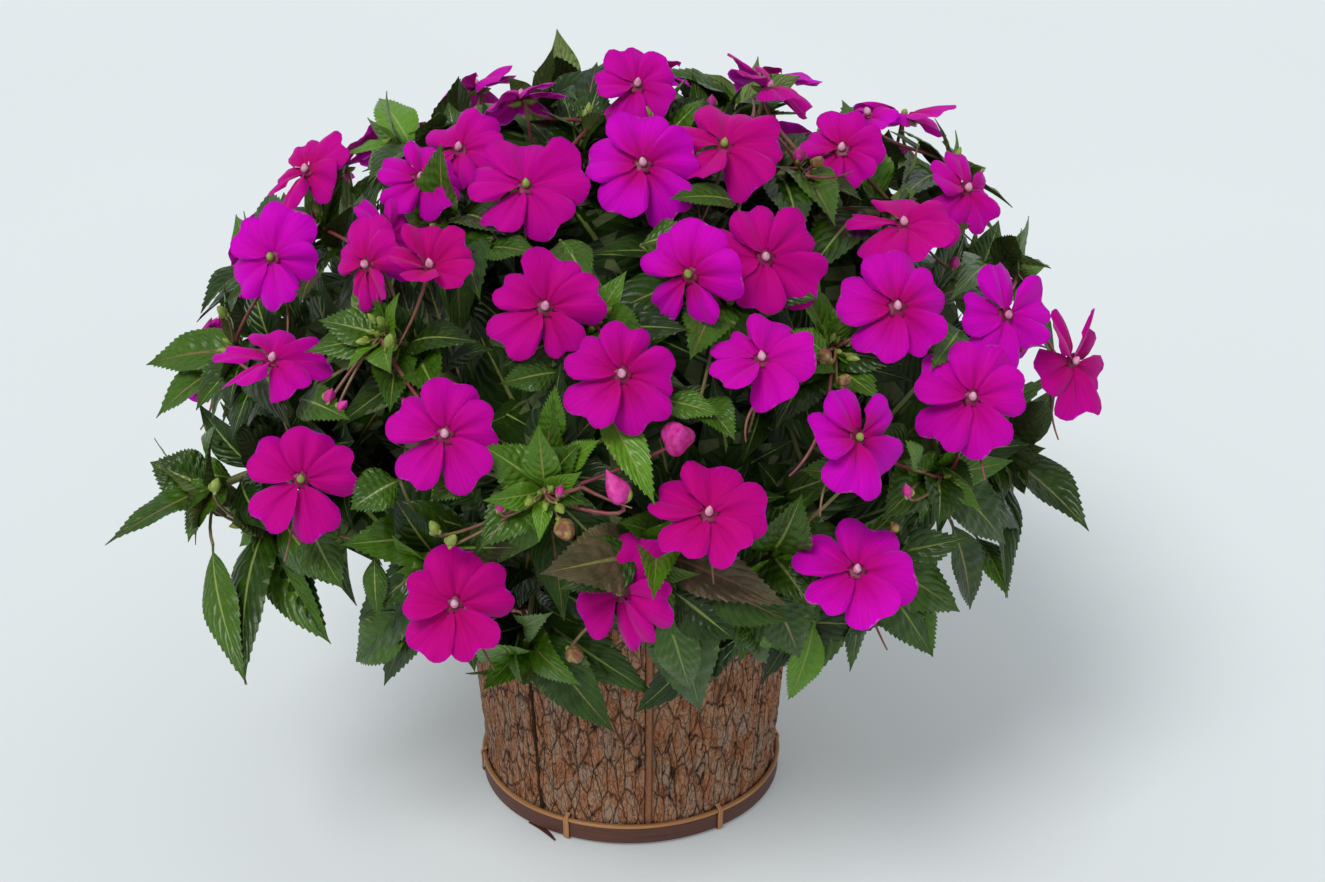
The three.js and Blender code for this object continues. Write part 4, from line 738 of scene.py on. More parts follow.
# Every shoot that the photograph shows: its growing tip, each leaf by its tip, width in
# millimetres, share of the crown's depth and tone, each bloom by its eye, radius and the way
# it faces (right, up, towards the viewer), and each large bud by its place, length and facing.
# A leaf's tone runs from 0 for old and dark to 1 for young and bright, and is less than 0
# where the leaf is flushed purple. Forward and back are millimetres towards the viewer and
# away. Cup is how deep a bloom is, and its hue runs from 0 for violet to 1 for crimson.
SHOWN_SHOOTS = [
    {"at": (410, 150), "tone": 0.75, "forward": 16,
     "leaves": [((379, 98), 20, 0.97, 0.95), ((345, 155), 18), ((368, 182), 18, 0.97, 0.3),
                ((440, 112), 18)],
     "blooms": [((420, 180), 22, (0.2, 0.5), {"back": 8}), ((460, 150), 24, (-0.6, 0.7), {"back": 20})]},
    {"at": (325, 238), "leaves": [((343, 160), 14), ((222, 305), 20), ((300, 305), 22), ((352, 205), 18)],
     "blooms": [((307, 172), 24, (-1.5, 1.3)), ((368, 265), 23, (-1.1, 0), {"hue": 0.8})]},
    {"at": (447, 222),
     "leaves": [((441, 143), 22, 1.08, 0.3), ((480, 300), 30, 0.97, 0.05), ((505, 235), 24)],
     "blooms": [((388, 237), 22, (0.9, 0.5), {"back": 14}),
                ((429, 270), 20, (0.1, 0.9), {"cup": 0.75, "hue": 1})]},
    {"at": (585, 140), "leaves": [((600, 84), 22), ((597, 62), 20), ((562, 92), 20), ((612, 112), 20)],
     "blooms": [((526, 187), 29, (0, 0.6)), ((522, 98), 22, (-0.3, 1, -0.25))]},
    {"at": (655, 140), "leaves": [((668, 218), 26, 0.88), ((705, 98), 20)],
     "blooms": [((637, 86), 22, (0.1, 0.6)), ((643, 165), 28, (0, 0.4))]},
    {"at": (792, 172), "leaves": [((835, 226), 24), ((862, 200), 22), ((800, 240), 24)],
     "blooms": [((724, 147), 30, (0, 0.95)), ((768, 88), 27, (0.5, 1, 0.2), {"back": 16})]},
    {"at": (880, 212), "leaves": [((836, 122), 27, 0.99, 0.7), ((842, 100), 22), ((800, 285), 26)],
     "blooms": [((842, 150), 22, (-0.2, 0.5), {"back": 10}), ((904, 226), 28, (0.1, 1, 0.7))]},
    {"at": (948, 178), "leaves": [((900, 130), 24), ((898, 202), 24), ((950, 262), 24)],
     "blooms": [((868, 116), 20, (-0.1, 1, 0.25)), ((966, 190), 22, (0.9, 0.5))]},
    {"at": (1003, 272), "tone": 0.4,
     "leaves": [((1051, 268), 20), ((1016, 236), 18), ((1040, 330), 22), ((950, 300), 24)],
     "blooms": [((1006, 316), 26, (0.7, 0.1)), ((1072, 362), 28, (1.8, 0.1))]},
    {"at": (250, 352),
     "leaves": [((146, 365), 24), ((156, 418), 26), ((196, 410), 27), ((290, 428), 26), ((232, 440), 24)],
     "blooms": [((272, 258), 26, (-0.5, 0.1)), ((272, 362), 27, (-0.1, 1.7))]},
    {"at": (390, 338), "forward": 14,
     "leaves": [((318, 320), 22), ((304, 352), 20), ((390, 412), 20), ((476, 342), 20), ((372, 300), 18),
                ((440, 400), 24)],
     "blooms": [((445, 435), 26, (-0.1, 0.1))]},
    {"at": (210, 490), "tone": 0.35,
     "leaves": [((150, 462), 28), ((216, 424), 18), ((105, 545), 22), ((188, 542), 28), ((173, 470), 16)]},
    {"at": (268, 520), "leaves": [((245, 685), 28), ((330, 643), 30), ((342, 588), 24)],
     "blooms": [((301, 480), 28, (-0.1, 0))]},
    {"at": (590, 330), "leaves": [((650, 345), 24), ((500, 368), 24), ((690, 330), 24)],
     "blooms": [((545, 308), 26, (0, 0.2)), ((622, 375), 27, (0, 0.1))]},
    {"at": (722, 300), "leaves": [((690, 360), 24), ((820, 300), 26), ((650, 245), 24)],
     "blooms": [((690, 275), 25, (-0.4, 0)), ((765, 258), 28, (0.2, 0.1))]},
    {"at": (826, 352), "leaves": [((902, 364), 22), ((842, 318), 14), ((776, 428), 24), ((880, 400), 24)],
     "blooms": [((762, 360), 26, (0, 0.7)), ((897, 308), 28, (0.2, 0.3))]},
    {"at": (545, 490), "tone": 0.32, "forward": 16,
     "leaves": [((482, 445), 22), ((580, 444), 18), ((586, 505), 18), ((480, 548), 24), ((554, 400), 16),
                ((540, 540), 18)],
     "buds": [((615, 487), 19, (-0.4, 0.8, 0.3)), ((679, 436), 25, (0.2, 0.3))]},
    {"at": (935, 472),
     "leaves": [((938, 526), 24), ((882, 520), 26), ((1006, 545), 28), ((975, 490), 16), ((932, 436), 14),
                ((1020, 530), 30)],
     "blooms": [((972, 398), 27, (0.1, 0.1)), ((857, 438), 27, (0.9, 0.1))]},
    {"at": (1000, 452),
     "leaves": [((1089, 531), 30), ((1046, 400), 20), ((1038, 462), 20), ((1006, 598), 26)]},
    {"at": (652, 556),
     "leaves": [((540, 574), 32, 1.09, -0.4), ((788, 606), 24, 1.0, -0.5), ((653, 600), 18, 1.08, 0.6),
                ((700, 712), 34, 0.97, 0.1), ((618, 522), 16, 0.97, 0.5)],
     "blooms": [((621, 592), 28, (-0.5, -0.2), {"back": 15}), ((709, 515), 28, (0, 0.55))]},
    {"at": (770, 556), "leaves": [((802, 494), 26), ((810, 606), 26), ((798, 658), 30), ((740, 662), 28)]},
    {"at": (868, 560),
     "leaves": [((967, 538), 24), ((933, 657), 28), ((850, 672), 18), ((960, 612), 28), ((792, 698), 26),
                ((760, 684), 24)],
     "blooms": [((857, 572), 29, (0, 0.4))]},
    {"at": (528, 650), "tone": 0.6, "forward": 26,
     "leaves": [((466, 635), 20, 1.03), ((483, 690), 18, 1.02), ((522, 682), 12, 1.04),
                ((582, 686), 20, 1.03), ((615, 733), 28, 0.97, 0.25), ((553, 612), 14, 1.04),
                ((655, 695), 24, 0.97, 0.1)]},
    {"at": (440, 560),
     "leaves": [((356, 660), 28), ((384, 686), 24), ((520, 548), 22), ((372, 610), 22), ((475, 672), 28),
                ((340, 545), 28)],
     "blooms": [((455, 605), 27, (-0.1, 0))]},
]

# Smaller leaves that the photograph shows between those: foot, tip, width and tone
SHOWN_SMALL_LEAVES = [
    ((740, 203), (669, 199), 17, 0.3), ((602, 404), (655, 505), 17, 0.9),
    ((553, 445), (555, 385), 11, 0.55), ((560, 372), (500, 384), 15, 0.2),
    ((660, 400), (720, 415), 14, 0.5), ((640, 548), (560, 590), 24, 0.15),
    ((700, 580), (790, 622), 24, 0.2), ((672, 590), (735, 640), 24, 0.1),
    ((662, 600), (690, 690), 20, 0.35), ((770, 590), (800, 658), 22, 0.2),
    ((815, 620), (788, 700), 16, 0.95), ((900, 590), (933, 657), 20, 0.5),
    ((975, 535), (1008, 598), 20, 0.5), ((950, 520), (970, 610), 18, 0.1),
    ((213, 545), (247, 685), 20, 0.4), ((268, 535), (331, 644), 26, 0.4),
    ((310, 525), (343, 589), 22, 0.35), ((420, 610), (356, 662), 22, 0.3),
    ((375, 555), (378, 618), 11, 0.3), ((480, 470), (430, 500), 17, 0.45),
    ((560, 470), (600, 440), 12, 0.8), ((700, 400), (735, 440), 16, 0.4),
    ((830, 360), (790, 330), 14, 0.6), ((915, 470), (905, 440), 10, 0.8),
    ((640, 245), (700, 235), 18, 0.3), ((560, 240), (590, 290), 18, 0.3),
    ((480, 250), (540, 255), 18, 0.25), ((300, 400), (350, 420), 18, 0.3),
    ((400, 480), (350, 510), 20, 0.3), ((960, 330), (930, 370), 16, 0.35),
    ((850, 480), (800, 470), 18, 0.25),
]


# The point on the crown that a pixel of the photograph shows, on a smaller crown where the
# depth is less than 1
def crown_point(pixel, depth=1.0):
    sight = sight_line(pixel)
    start = (view_point - CROWN_CENTRE) / CROWN_RADII
    along = sight / CROWN_RADII
    a = along @ along
    b = start @ along
    reach = b * b - a * (start @ start - depth * depth)
    return view_point + sight * (-b - math.sqrt(max(reach, 0))) / a


# The way out of the crown from a point of it
def crown_normal(point):
    return unit((point - CROWN_CENTRE) / CROWN_RADII / CROWN_RADII)


# A direction given as (right, up, towards the viewer), seen at one point
def facing(point, face):
    right, up, towards = (*face, 1)[:3]
    to_viewer = unit(view_point - point)
    across = unit(np.cross(view_up, to_viewer))
    return unit(across * right + np.cross(to_viewer, across) * up + to_viewer * towards)


# The same small random source everywhere, so each run gives the same plant
def random_source(seed):
    state = [seed]

    def roll():
        state[0] = (state[0] + 0x6D2B79F5) & 0xFFFFFFFF
        mixed = state[0]
        mixed = ((mixed ^ (mixed >> 15)) * (mixed | 1)) & 0xFFFFFFFF
        mixed ^= (mixed + (mixed ^ (mixed >> 7)) * (mixed | 61)) & 0xFFFFFFFF
        return (mixed ^ (mixed >> 14)) / 4294967296

    return roll


random = random_source(PLANT_SEED)


# A random number between plus and minus the amount
def spread(amount):
    return (random() * 2 - 1) * amount


# Two directions that are square to one another and to the given one
def around_of(outward):
    level = unit(np.array([-outward[1], outward[0], 0.0]))
    return level, np.cross(outward, level)


# The direction at an angle between two that are square to one another
def turned_to(level, steep, angle):
    return level * math.cos(angle) + steep * math.sin(angle)


# A leaf of a shown shoot, which has the shoot's tone unless it has its own
def shown_leaf(shoot_tone, tip, wide, depth=LEAF_DEPTH, tone=None):
    return crown_point(tip, depth), wide, shoot_tone if tone is None else tone


shoots = []
for entry in SHOWN_SHOOTS:
    blooms = []
    for eye, radius, face, *more in entry.get("blooms", []):
        more = more[0] if more else {}
        place = crown_point(eye) + sight_line(eye) * more.get("back", 0)
        blooms.append({
            "eye": place, "normal": facing(place, face), "radius": radius,
            "cup": more.get("cup", PLAIN_CUP), "hue": more.get("hue"),
        })
    buds = []
    for at, size, face in entry.get("buds", []):
        centre = crown_point(at, LEAF_DEPTH)
        buds.append({"centre": centre, "normal": facing(centre, face), "size": size, "kind": "magenta"})
    shoots.append({
        "at": crown_point(entry["at"], SHOOT_DEPTH), "shown": True, "blooms": blooms, "buds": buds,
        "forward": entry.get("forward", 0),
        "leaves": [shown_leaf(entry.get("tone", LEAF_TONE), *leaf) for leaf in entry["leaves"]],
    })

# Shoots by rule fill the sides, the top and the back, at even steps of the golden angle.
for index in range(RULE_SHOOTS):
    height = 1 - (index + 0.5) / RULE_SHOOTS * (1 - RULE_LOWEST)
    angle = index * math.pi * (3 - math.sqrt(5))
    ring = math.sqrt(1 - height * height)
    heading = np.array([math.cos(angle) * ring, math.sin(angle) * ring, height])
    at = heading * CROWN_RADII * (SHOOT_DEPTH + spread(0.02)) + CROWN_CENTRE
    if any(np.linalg.norm(other["at"] - at) < RULE_SPACING for other in shoots):
        continue
    outward = crown_normal(at)
    level, steep = around_of(outward)
    first = random() * 2 * math.pi
    leaves = []
    for turn in range(RULE_LEAVES):
        round_by = first + turn / RULE_LEAVES * 2 * math.pi + spread(0.25)
        reach = RULE_LEAF_REACH + spread(10)
        tip = at + level * math.cos(round_by) * reach + steep * math.sin(round_by) * reach
        tip = tip + outward * (RULE_LEAF_LIFT + spread(8)) - [0, 0, RULE_LEAF_DROOP]
        leaves.append((tip, reach * RULE_LEAF_SLIMNESS, LEAF_TONE))
    shoots.append({"at": at, "shown": False, "blooms": [], "buds": [], "leaves": leaves})

# Blooms by rule: pairs on the shoots of the far side, spread evenly
far_shoots = sorted(
    (s for s in shoots if not s["shown"] and s["at"][1] > FAR_FRONT and s["at"][2] < FAR_TOP),
    key=lambda s: math.atan2(s["at"][1], s["at"][0]),
)
for index in range(FAR_SPRAYS):
    shoot = far_shoots[int((index + 0.5) * len(far_shoots) / FAR_SPRAYS)]
    outward = crown_normal(shoot["at"])
    level, steep = around_of(outward)
    first = random() * 2 * math.pi
    for half in (0, math.pi):
        round_by = first + half + spread(0.3)
        reach = FAR_BLOOM_SIDE + spread(4)
        eye = shoot["at"] + outward * (FAR_BLOOM_LIFT + spread(4))
        eye = eye + level * math.cos(round_by) * reach + steep * math.sin(round_by) * reach
        normal = unit(crown_normal(eye) + [spread(0.25), spread(0.25), FAR_BLOOM_TILT + spread(0.2)])
        radius = BLOOM_RADIUS + spread(2.5)
        shoot["blooms"].append(
            {"eye": eye, "normal": normal, "radius": radius, "cup": PLAIN_CUP, "hue": None}
        )

for shoot in shoots:
    if shoot["shown"]:
        shoot["at"] = shoot["at"] + unit(view_point - shoot["at"]) * shoot["forward"]

# The stems stand in two rings, and each one carries the shoots of its own sector.
stems = []
for index in range(OUTER_STEMS + INNER_STEMS):
    inner = index >= OUTER_STEMS
    count = INNER_STEMS if inner else OUTER_STEMS
    fork_radius, fork_height = INNER_FORK if inner else OUTER_FORK
    angle = (index % count + 0.5) / count * 2 * math.pi
    out = np.array([math.cos(angle), math.sin(angle), 0])
    stems.append({
        "root": out * (INNER_ROOT_RADIUS if inner else OUTER_ROOT_RADIUS) + [0, 0, SOIL_LEVEL],
        "fork": out * fork_radius + [0, 0, fork_height],
        "shoots": [],
    })
for shoot in shoots:
    heading = unit((shoot["at"] - CROWN_CENTRE) / CROWN_RADII)
    angle = math.atan2(heading[1], heading[0]) % (2 * math.pi)
    inner = heading[2] > UPPER_HEIGHT
    count = INNER_STEMS if inner else OUTER_STEMS
    stem = stems[(OUTER_STEMS if inner else 0) + int(angle / (2 * math.pi) * count) % count]
    bend = (stem["fork"] + shoot["at"]) / 2 + [0, 0, BRANCH_RISE]
    share = np.linspace(0, 1, BRANCH_STEPS)[:, None]
    shoot["branch"] = (1 - share) ** 2 * stem["fork"] + 2 * share * (1 - share) * bend
    shoot["branch"] += share**2 * shoot["at"]
    shoot["heading"] = unit(shoot["at"] - bend)
    stem["shoots"].append(shoot)


# Parts of one leafy stem or spray, gathered before they become one mesh
def new_bundle():
    return {"points": [], "faces": [], "materials": [], "uv": [], "tone": [], "chance": [], "count": 0}


# One part into a bundle, with the slot of its material, its tone and its chance value
def put(bundle, points, faces, material, uv, tone, chance):
    bundle["points"].append(points)
    bundle["faces"].append(faces + bundle["count"])
    bundle["materials"].append(np.full(len(faces), material))
    bundle["uv"].append(uv)
    bundle["tone"].append(np.full(len(points), tone))
    bundle["chance"].append(np.full(len(points), chance))
    bundle["count"] += len(points)


# One object from all parts of a bundle
def bundle_object(name, bundle, materials):
    return mesh_object(
        name, np.concatenate(bundle["points"]), np.concatenate(bundle["faces"]), materials,
        face_materials=np.concatenate(bundle["materials"]), uv=np.concatenate(bundle["uv"]),
        values={"tone": np.concatenate(bundle["tone"]), "chance": np.concatenate(bundle["chance"])},
    )


# A round form along a line, with its radius at each point of the line
def put_round(
    bundle, line, radii, material, tone=0.5, chance=0.5, sides=8, ridges=0.0, folds=5, twist=0.0
):
    line = np.asarray(line, dtype=float)
    radii = np.broadcast_to(np.asarray(radii, dtype=float), (len(line),))
    run = np.gradient(line, axis=0)
    run /= np.linalg.norm(run, axis=1)[:, None]
    side = unit(np.cross(run[0], [0.31, 0.87, 0.38]))
    turn = np.linspace(0, 2 * math.pi, sides + 1)
    rings = []
    for step, middle in enumerate(line):
        other = unit(np.cross(run[step], side))
        side = np.cross(other, run[step])
        radius = radii[step] * (1 + ridges * np.cos(folds * turn + twist * step))
        rings.append(
            middle + np.outer(np.cos(turn) * radius, side) + np.outer(np.sin(turn) * radius, other)
        )
    lengths = np.concatenate([[0], np.cumsum(np.linalg.norm(np.diff(line, axis=0), axis=1))])
    uv = np.stack([np.repeat(lengths, sides + 1), np.tile(turn, len(line))], axis=1)
    put(bundle, np.concatenate(rings), grid_faces(len(line), sides + 1), material, uv, tone, chance)


# A smooth line that is drawn towards each point and meets the first and the last
def curve_line(points, steps):
    share = np.linspace(0, 1, steps)[:, None]
    layers = [np.asarray(point, dtype=float)[None, :] for point in points]
    while len(layers) > 1:
        layers = [low + (high - low) * share for low, high in zip(layers, layers[1:])]
    return layers[0]


# A round form along a smooth line
def put_curve(bundle, points, steps, radii, material, tone=0.5, sides=6):
    put_round(bundle, curve_line(points, steps), radii, material, tone, sides=sides)


# A leaf: a pillowed, folded blade with an arched midrib, fine teeth and a short stalk. It
# has an upper and a lower skin that meet at the edge.
def put_leaf(bundle, base, tip, up, wide, tone, form=FINE_LEAF, arch=LEAF_ARCH):
    rows, columns = form
    along = tip - base
    length = np.linalg.norm(along)
    left = unit(np.cross(up, along))
    face = np.cross(along / length, left)
    s = np.linspace(0, 1, rows)[:, None]
    t = np.linspace(-1, 1, columns)[None, :]
    bend = base + along * 0.45 + face * (arch + spread(0.05)) * length
    rib = (1 - s) ** 2 * base + 2 * s * (1 - s) * bend + s**2 * tip
    run = 2 * (1 - s) * (bend - base) + 2 * s * (tip - bend)
    run /= np.linalg.norm(run, axis=1)[:, None]
    twist = spread(0.22) * s + spread(0.12)
    across = left * np.cos(twist) + np.cross(run, left) * np.sin(twist)
    across /= np.linalg.norm(across, axis=1)[:, None]
    above = np.cross(run, across)
    body = np.clip((s - 0.08) / 0.92, 0, 1)
    profile = np.sin(math.pi * body**0.74) ** 1.1 * (1.08 - 0.28 * body**3)
    half = wide / 2 * profile + LEAF_STALK_RADIUS * (1 - smoothstep(0.02, 0.2, s)) + 0.12
    vein = VEIN_PAIRS * (s - VEIN_SWEEP * np.abs(t) ** 1.25)
    pillow = (0.5 - 0.5 * np.cos(2 * math.pi * vein)) * np.minimum(1, np.abs(t) * 5) * (1 - np.abs(t) ** 4)
    wave = np.sin(2 * math.pi * (2.2 + spread(0.5)) * s + spread(3)) * np.sign(t)
    lift = half * ((LEAF_FOLD + spread(0.22)) * np.abs(t) - (LEAF_CURL + spread(0.16)) * t**2)
    lift = lift + LEAF_PILLOW * wide * pillow * profile
    lift = lift + wide * LEAF_WAVE * wave * t**2 * profile
    middle = rib[:, None, :] + across[:, None, :] * (t * half)[:, :, None]
    upper = middle + above[:, None, :] * lift[:, :, None]
    if form in (FINE_LEAF, FAR_LEAF):
        grown = (profile > 0.15)[:, 0] & (np.arange(rows) % 2 == 1)
        for column, side in ((0, -1), (-1, 1)):
            upper[grown, column] += run[grown] * TOOTH + across[grown] * side * TOOTH * 0.5
    thick = LEAF_THICKNESS * (1 - t**6) * np.ones_like(s)
    lower = upper - above[:, None, :] * thick[:, :, None]
    uv = np.stack(np.broadcast_arrays(s, t), axis=2).reshape(-1, 2)
    chance = random()
    put(bundle, upper.reshape(-1, 3), grid_faces(rows, columns, flip=True), FACE_SLOT, uv, tone, chance)
    put(bundle, lower.reshape(-1, 3), grid_faces(rows, columns), BACK_SLOT, uv, tone, chance)


# A leaf's tip, moved behind any bloom that it would come through
def behind_blooms(tip):
    for flower in all_blooms:
        offset = tip - flower["eye"]
        ahead = offset @ flower["normal"]
        aside = np.linalg.norm(offset - flower["normal"] * ahead)
        if aside < flower["radius"] * BLOOM_MARGIN and -BLOOM_CLEARANCE < ahead < BLOOM_REACH:
            tip = tip - flower["normal"] * (ahead + BLOOM_CLEARANCE)
    return tip


# The way a leaf's upper side faces: out of the crown, upwards and a little to the viewer
def leaf_up(base, tip, lean=0.3):
    middle = (base + tip) / 2
    return unit(crown_normal(middle) * 0.75 + [0, 0, 0.55] + facing(middle, (0, 0)) * lean)


# Lines of the side veins, from the leaf's own places: 1 on a vein and 0 between
def vein_lines(material, along, side, thin, wide):
    spread_out = add(material, "Math", {0: side, 1: 1.25}, operation="POWER")
    swept = add(material, "Math", {0: spread_out, 1: -VEIN_SWEEP, 2: along}, operation="MULTIPLY_ADD")
    phase = add(material, "Math", {0: swept, 1: VEIN_PAIRS}, operation="MULTIPLY")
    near = add(material, "Math", {0: phase, 1: 0.5}, operation="PINGPONG")
    return add(
        material, "MapRange",
        {"Value": near, "From Min": thin, "From Max": wide, "To Min": 1.0, "To Max": 0.0},
        **EASED,
    )


# Leaf skin: its colour follows its age, with a midrib, side veins and small cells
def leaf_material(name, old, young, rib_colour, roughness, vein_mix, red):
    leaf = new_material(name)
    uv = add(leaf, "UVMap", uv_map="surface")
    along, over = add(leaf, "SeparateXYZ", {0: uv}).node.outputs[:2]
    side = add(leaf, "Math", {0: over}, operation="ABSOLUTE")
    tone = add(leaf, "Attribute", attribute_name="tone", out="Fac")
    chance = add(leaf, "Attribute", attribute_name="chance", out="Fac")
    place = add(leaf, "TexCoord", out="Object")
    blotch = add(
        leaf, "TexNoise", {"Vector": place, "Scale": 1 / (LEAF_BLOTCH * MM), "Detail": 4, "Roughness": 0.6}
    )
    cells = add(leaf, "TexNoise", {"Vector": place, "Scale": 1 / (LEAF_CELL * MM), "Detail": 3})
    shift = add(leaf, "Math", {0: blotch, 1: 0.5, 2: -0.25}, operation="MULTIPLY_ADD")
    ripe = add(leaf, "Math", {0: tone, 1: shift}, operation="ADD", use_clamp=True)
    plain = add(leaf, "Mix", {0: ripe, 6: old, 7: young}, **MIXED_COLOUR)
    flush = add(leaf, "MapRange", {"Value": tone, "From Min": -0.05, "From Max": -0.7, "To Max": 0.55})
    flush_share = add(leaf, "Math", {0: flush, 1: blotch}, operation="MULTIPLY")
    flush_full = add(leaf, "Math", {0: flush_share, 1: 2.0}, operation="MULTIPLY", use_clamp=True)
    green = add(leaf, "Mix", {0: flush_full, 6: plain, 7: LEAF_FLUSH}, **MIXED_COLOUR)
    veins = vein_lines(leaf, along, side, 0.02, 0.09)
    vein_share = add(leaf, "Math", {0: veins, 1: vein_mix}, operation="MULTIPLY")
    veined = add(leaf, "Mix", {0: vein_share, 6: green, 7: rib_colour}, **MIXED_COLOUR)
    rib_edge = add(leaf, "Math", {0: along, 1: -0.07, 2: 0.11}, operation="MULTIPLY_ADD")
    rib_near = add(leaf, "Math", {0: side, 1: rib_edge}, operation="DIVIDE")
    rib = add(leaf, "MapRange", {"Value": rib_near, "From Min": 0.4, "To Min": 1.0, "To Max": 0.0}, **EASED)
    red_share = add(leaf, "MapRange", {"Value": chance, "From Min": 0.55, "From Max": 0.95, "To Max": 0.8})
    rib_tint = add(leaf, "Mix", {0: red_share, 6: rib_colour, 7: red}, **MIXED_COLOUR)
    rib_mix = add(leaf, "Math", {0: rib, 1: 0.68}, operation="MULTIPLY")
    ribbed = add(leaf, "Mix", {0: rib_mix, 6: veined, 7: rib_tint}, **MIXED_COLOUR)
    shade = add(
        leaf, "MapRange", {"Value": cells, "From Min": 0.3, "From Max": 0.7, "To Min": 0.85, "To Max": 1.15}
    )
    shaded = add(leaf, "VectorMath", {0: ribbed, 3: shade}, operation="SCALE")
    hollows = vein_lines(leaf, along, side, 0.0, 0.4)
    sunk = add(leaf, "Math", {0: hollows, 1: rib}, operation="MAXIMUM")
    form = add(leaf, "Math", {0: cells, 1: 0.3, 2: sunk}, operation="MULTIPLY_ADD")
    bump = add(leaf, "Bump", {"Height": form, "Strength": 0.5, "Distance": 0.7 * MM}, invert=True)
    finish_material(leaf, add(
        leaf, "BsdfPrincipled",
        {"Base Color": shaded, "Roughness": roughness, "IOR": 1.45, "Specular IOR Level": 0.33,
         "Normal": bump},
    ))
    return leaf


# Leaf skin, upper side: waxy, dark green with a soft sheen and sunken veins
leaf_upper = leaf_material(
    "waxy_leaf_upper_skin", LEAF_MATURE, LEAF_BRIGHT, LEAF_VEIN, 0.31, 0.05, LEAF_RIB_RED
)
# Leaf skin, lower side: duller, grey-green and often flushed purple
leaf_lower = leaf_material(
    "matt_leaf_lower_skin", LEAF_UNDER, LEAF_UNDER_BRIGHT, LEAF_UNDER_RED, 0.6, 0.25, LEAF_UNDER_RIB_RED
)

# Fleshy stem: smooth and a little shiny, green with red streaks
stem_skin = new_material("fleshy_stem_skin")
stem_place = add(stem_skin, "TexCoord", out="Object")
stem_noise = add(stem_skin, "TexNoise", {"Vector": stem_place, "Scale": 1 / (STEM_STREAK * MM), "Detail": 4})
stem_tone = add(stem_skin, "Attribute", attribute_name="tone", out="Fac")
stem_mix = add(stem_skin, "Math", {0: stem_noise, 1: 0.8, 2: stem_tone}, operation="MULTIPLY_ADD")
stem_share = add(stem_skin, "MapRange", {"Value": stem_mix, "From Min": 0.6, "From Max": 1.2})
stem_colour = add(stem_skin, "Mix", {0: stem_share, 6: STEM_GREEN, 7: STEM_RED}, **MIXED_COLOUR)
finish_material(stem_skin, add(
    stem_skin, "BsdfPrincipled", {"Base Color": stem_colour, "Roughness": 0.38, "IOR": 1.42},
))


# The shoot whose growing tip is nearest
def nearest_shoot(point, among):
    return min(among, key=lambda shoot: np.linalg.norm(shoot["at"] - point))


all_blooms = [flower for shoot in shoots for flower in shoot["blooms"]]
for shoot in shoots:
    shoot["small_leaves"] = []
for foot, tip, wide, tone in SHOWN_SMALL_LEAVES:
    foot_point = crown_point(foot, SMALL_LEAF_FOOT_DEPTH)
    leaf = (foot_point, crown_point(tip, SMALL_LEAF_DEPTH), wide, tone)
    nearest_shoot(foot_point, shoots)["small_leaves"].append(leaf)


# A leaf's tip, drawn in where it would pass the given share of the crown
def inside_crown(tip, share):
    depth = np.linalg.norm((tip - CROWN_CENTRE) / CROWN_RADII)
    return CROWN_CENTRE + (tip - CROWN_CENTRE) * share / depth if depth > share else tip


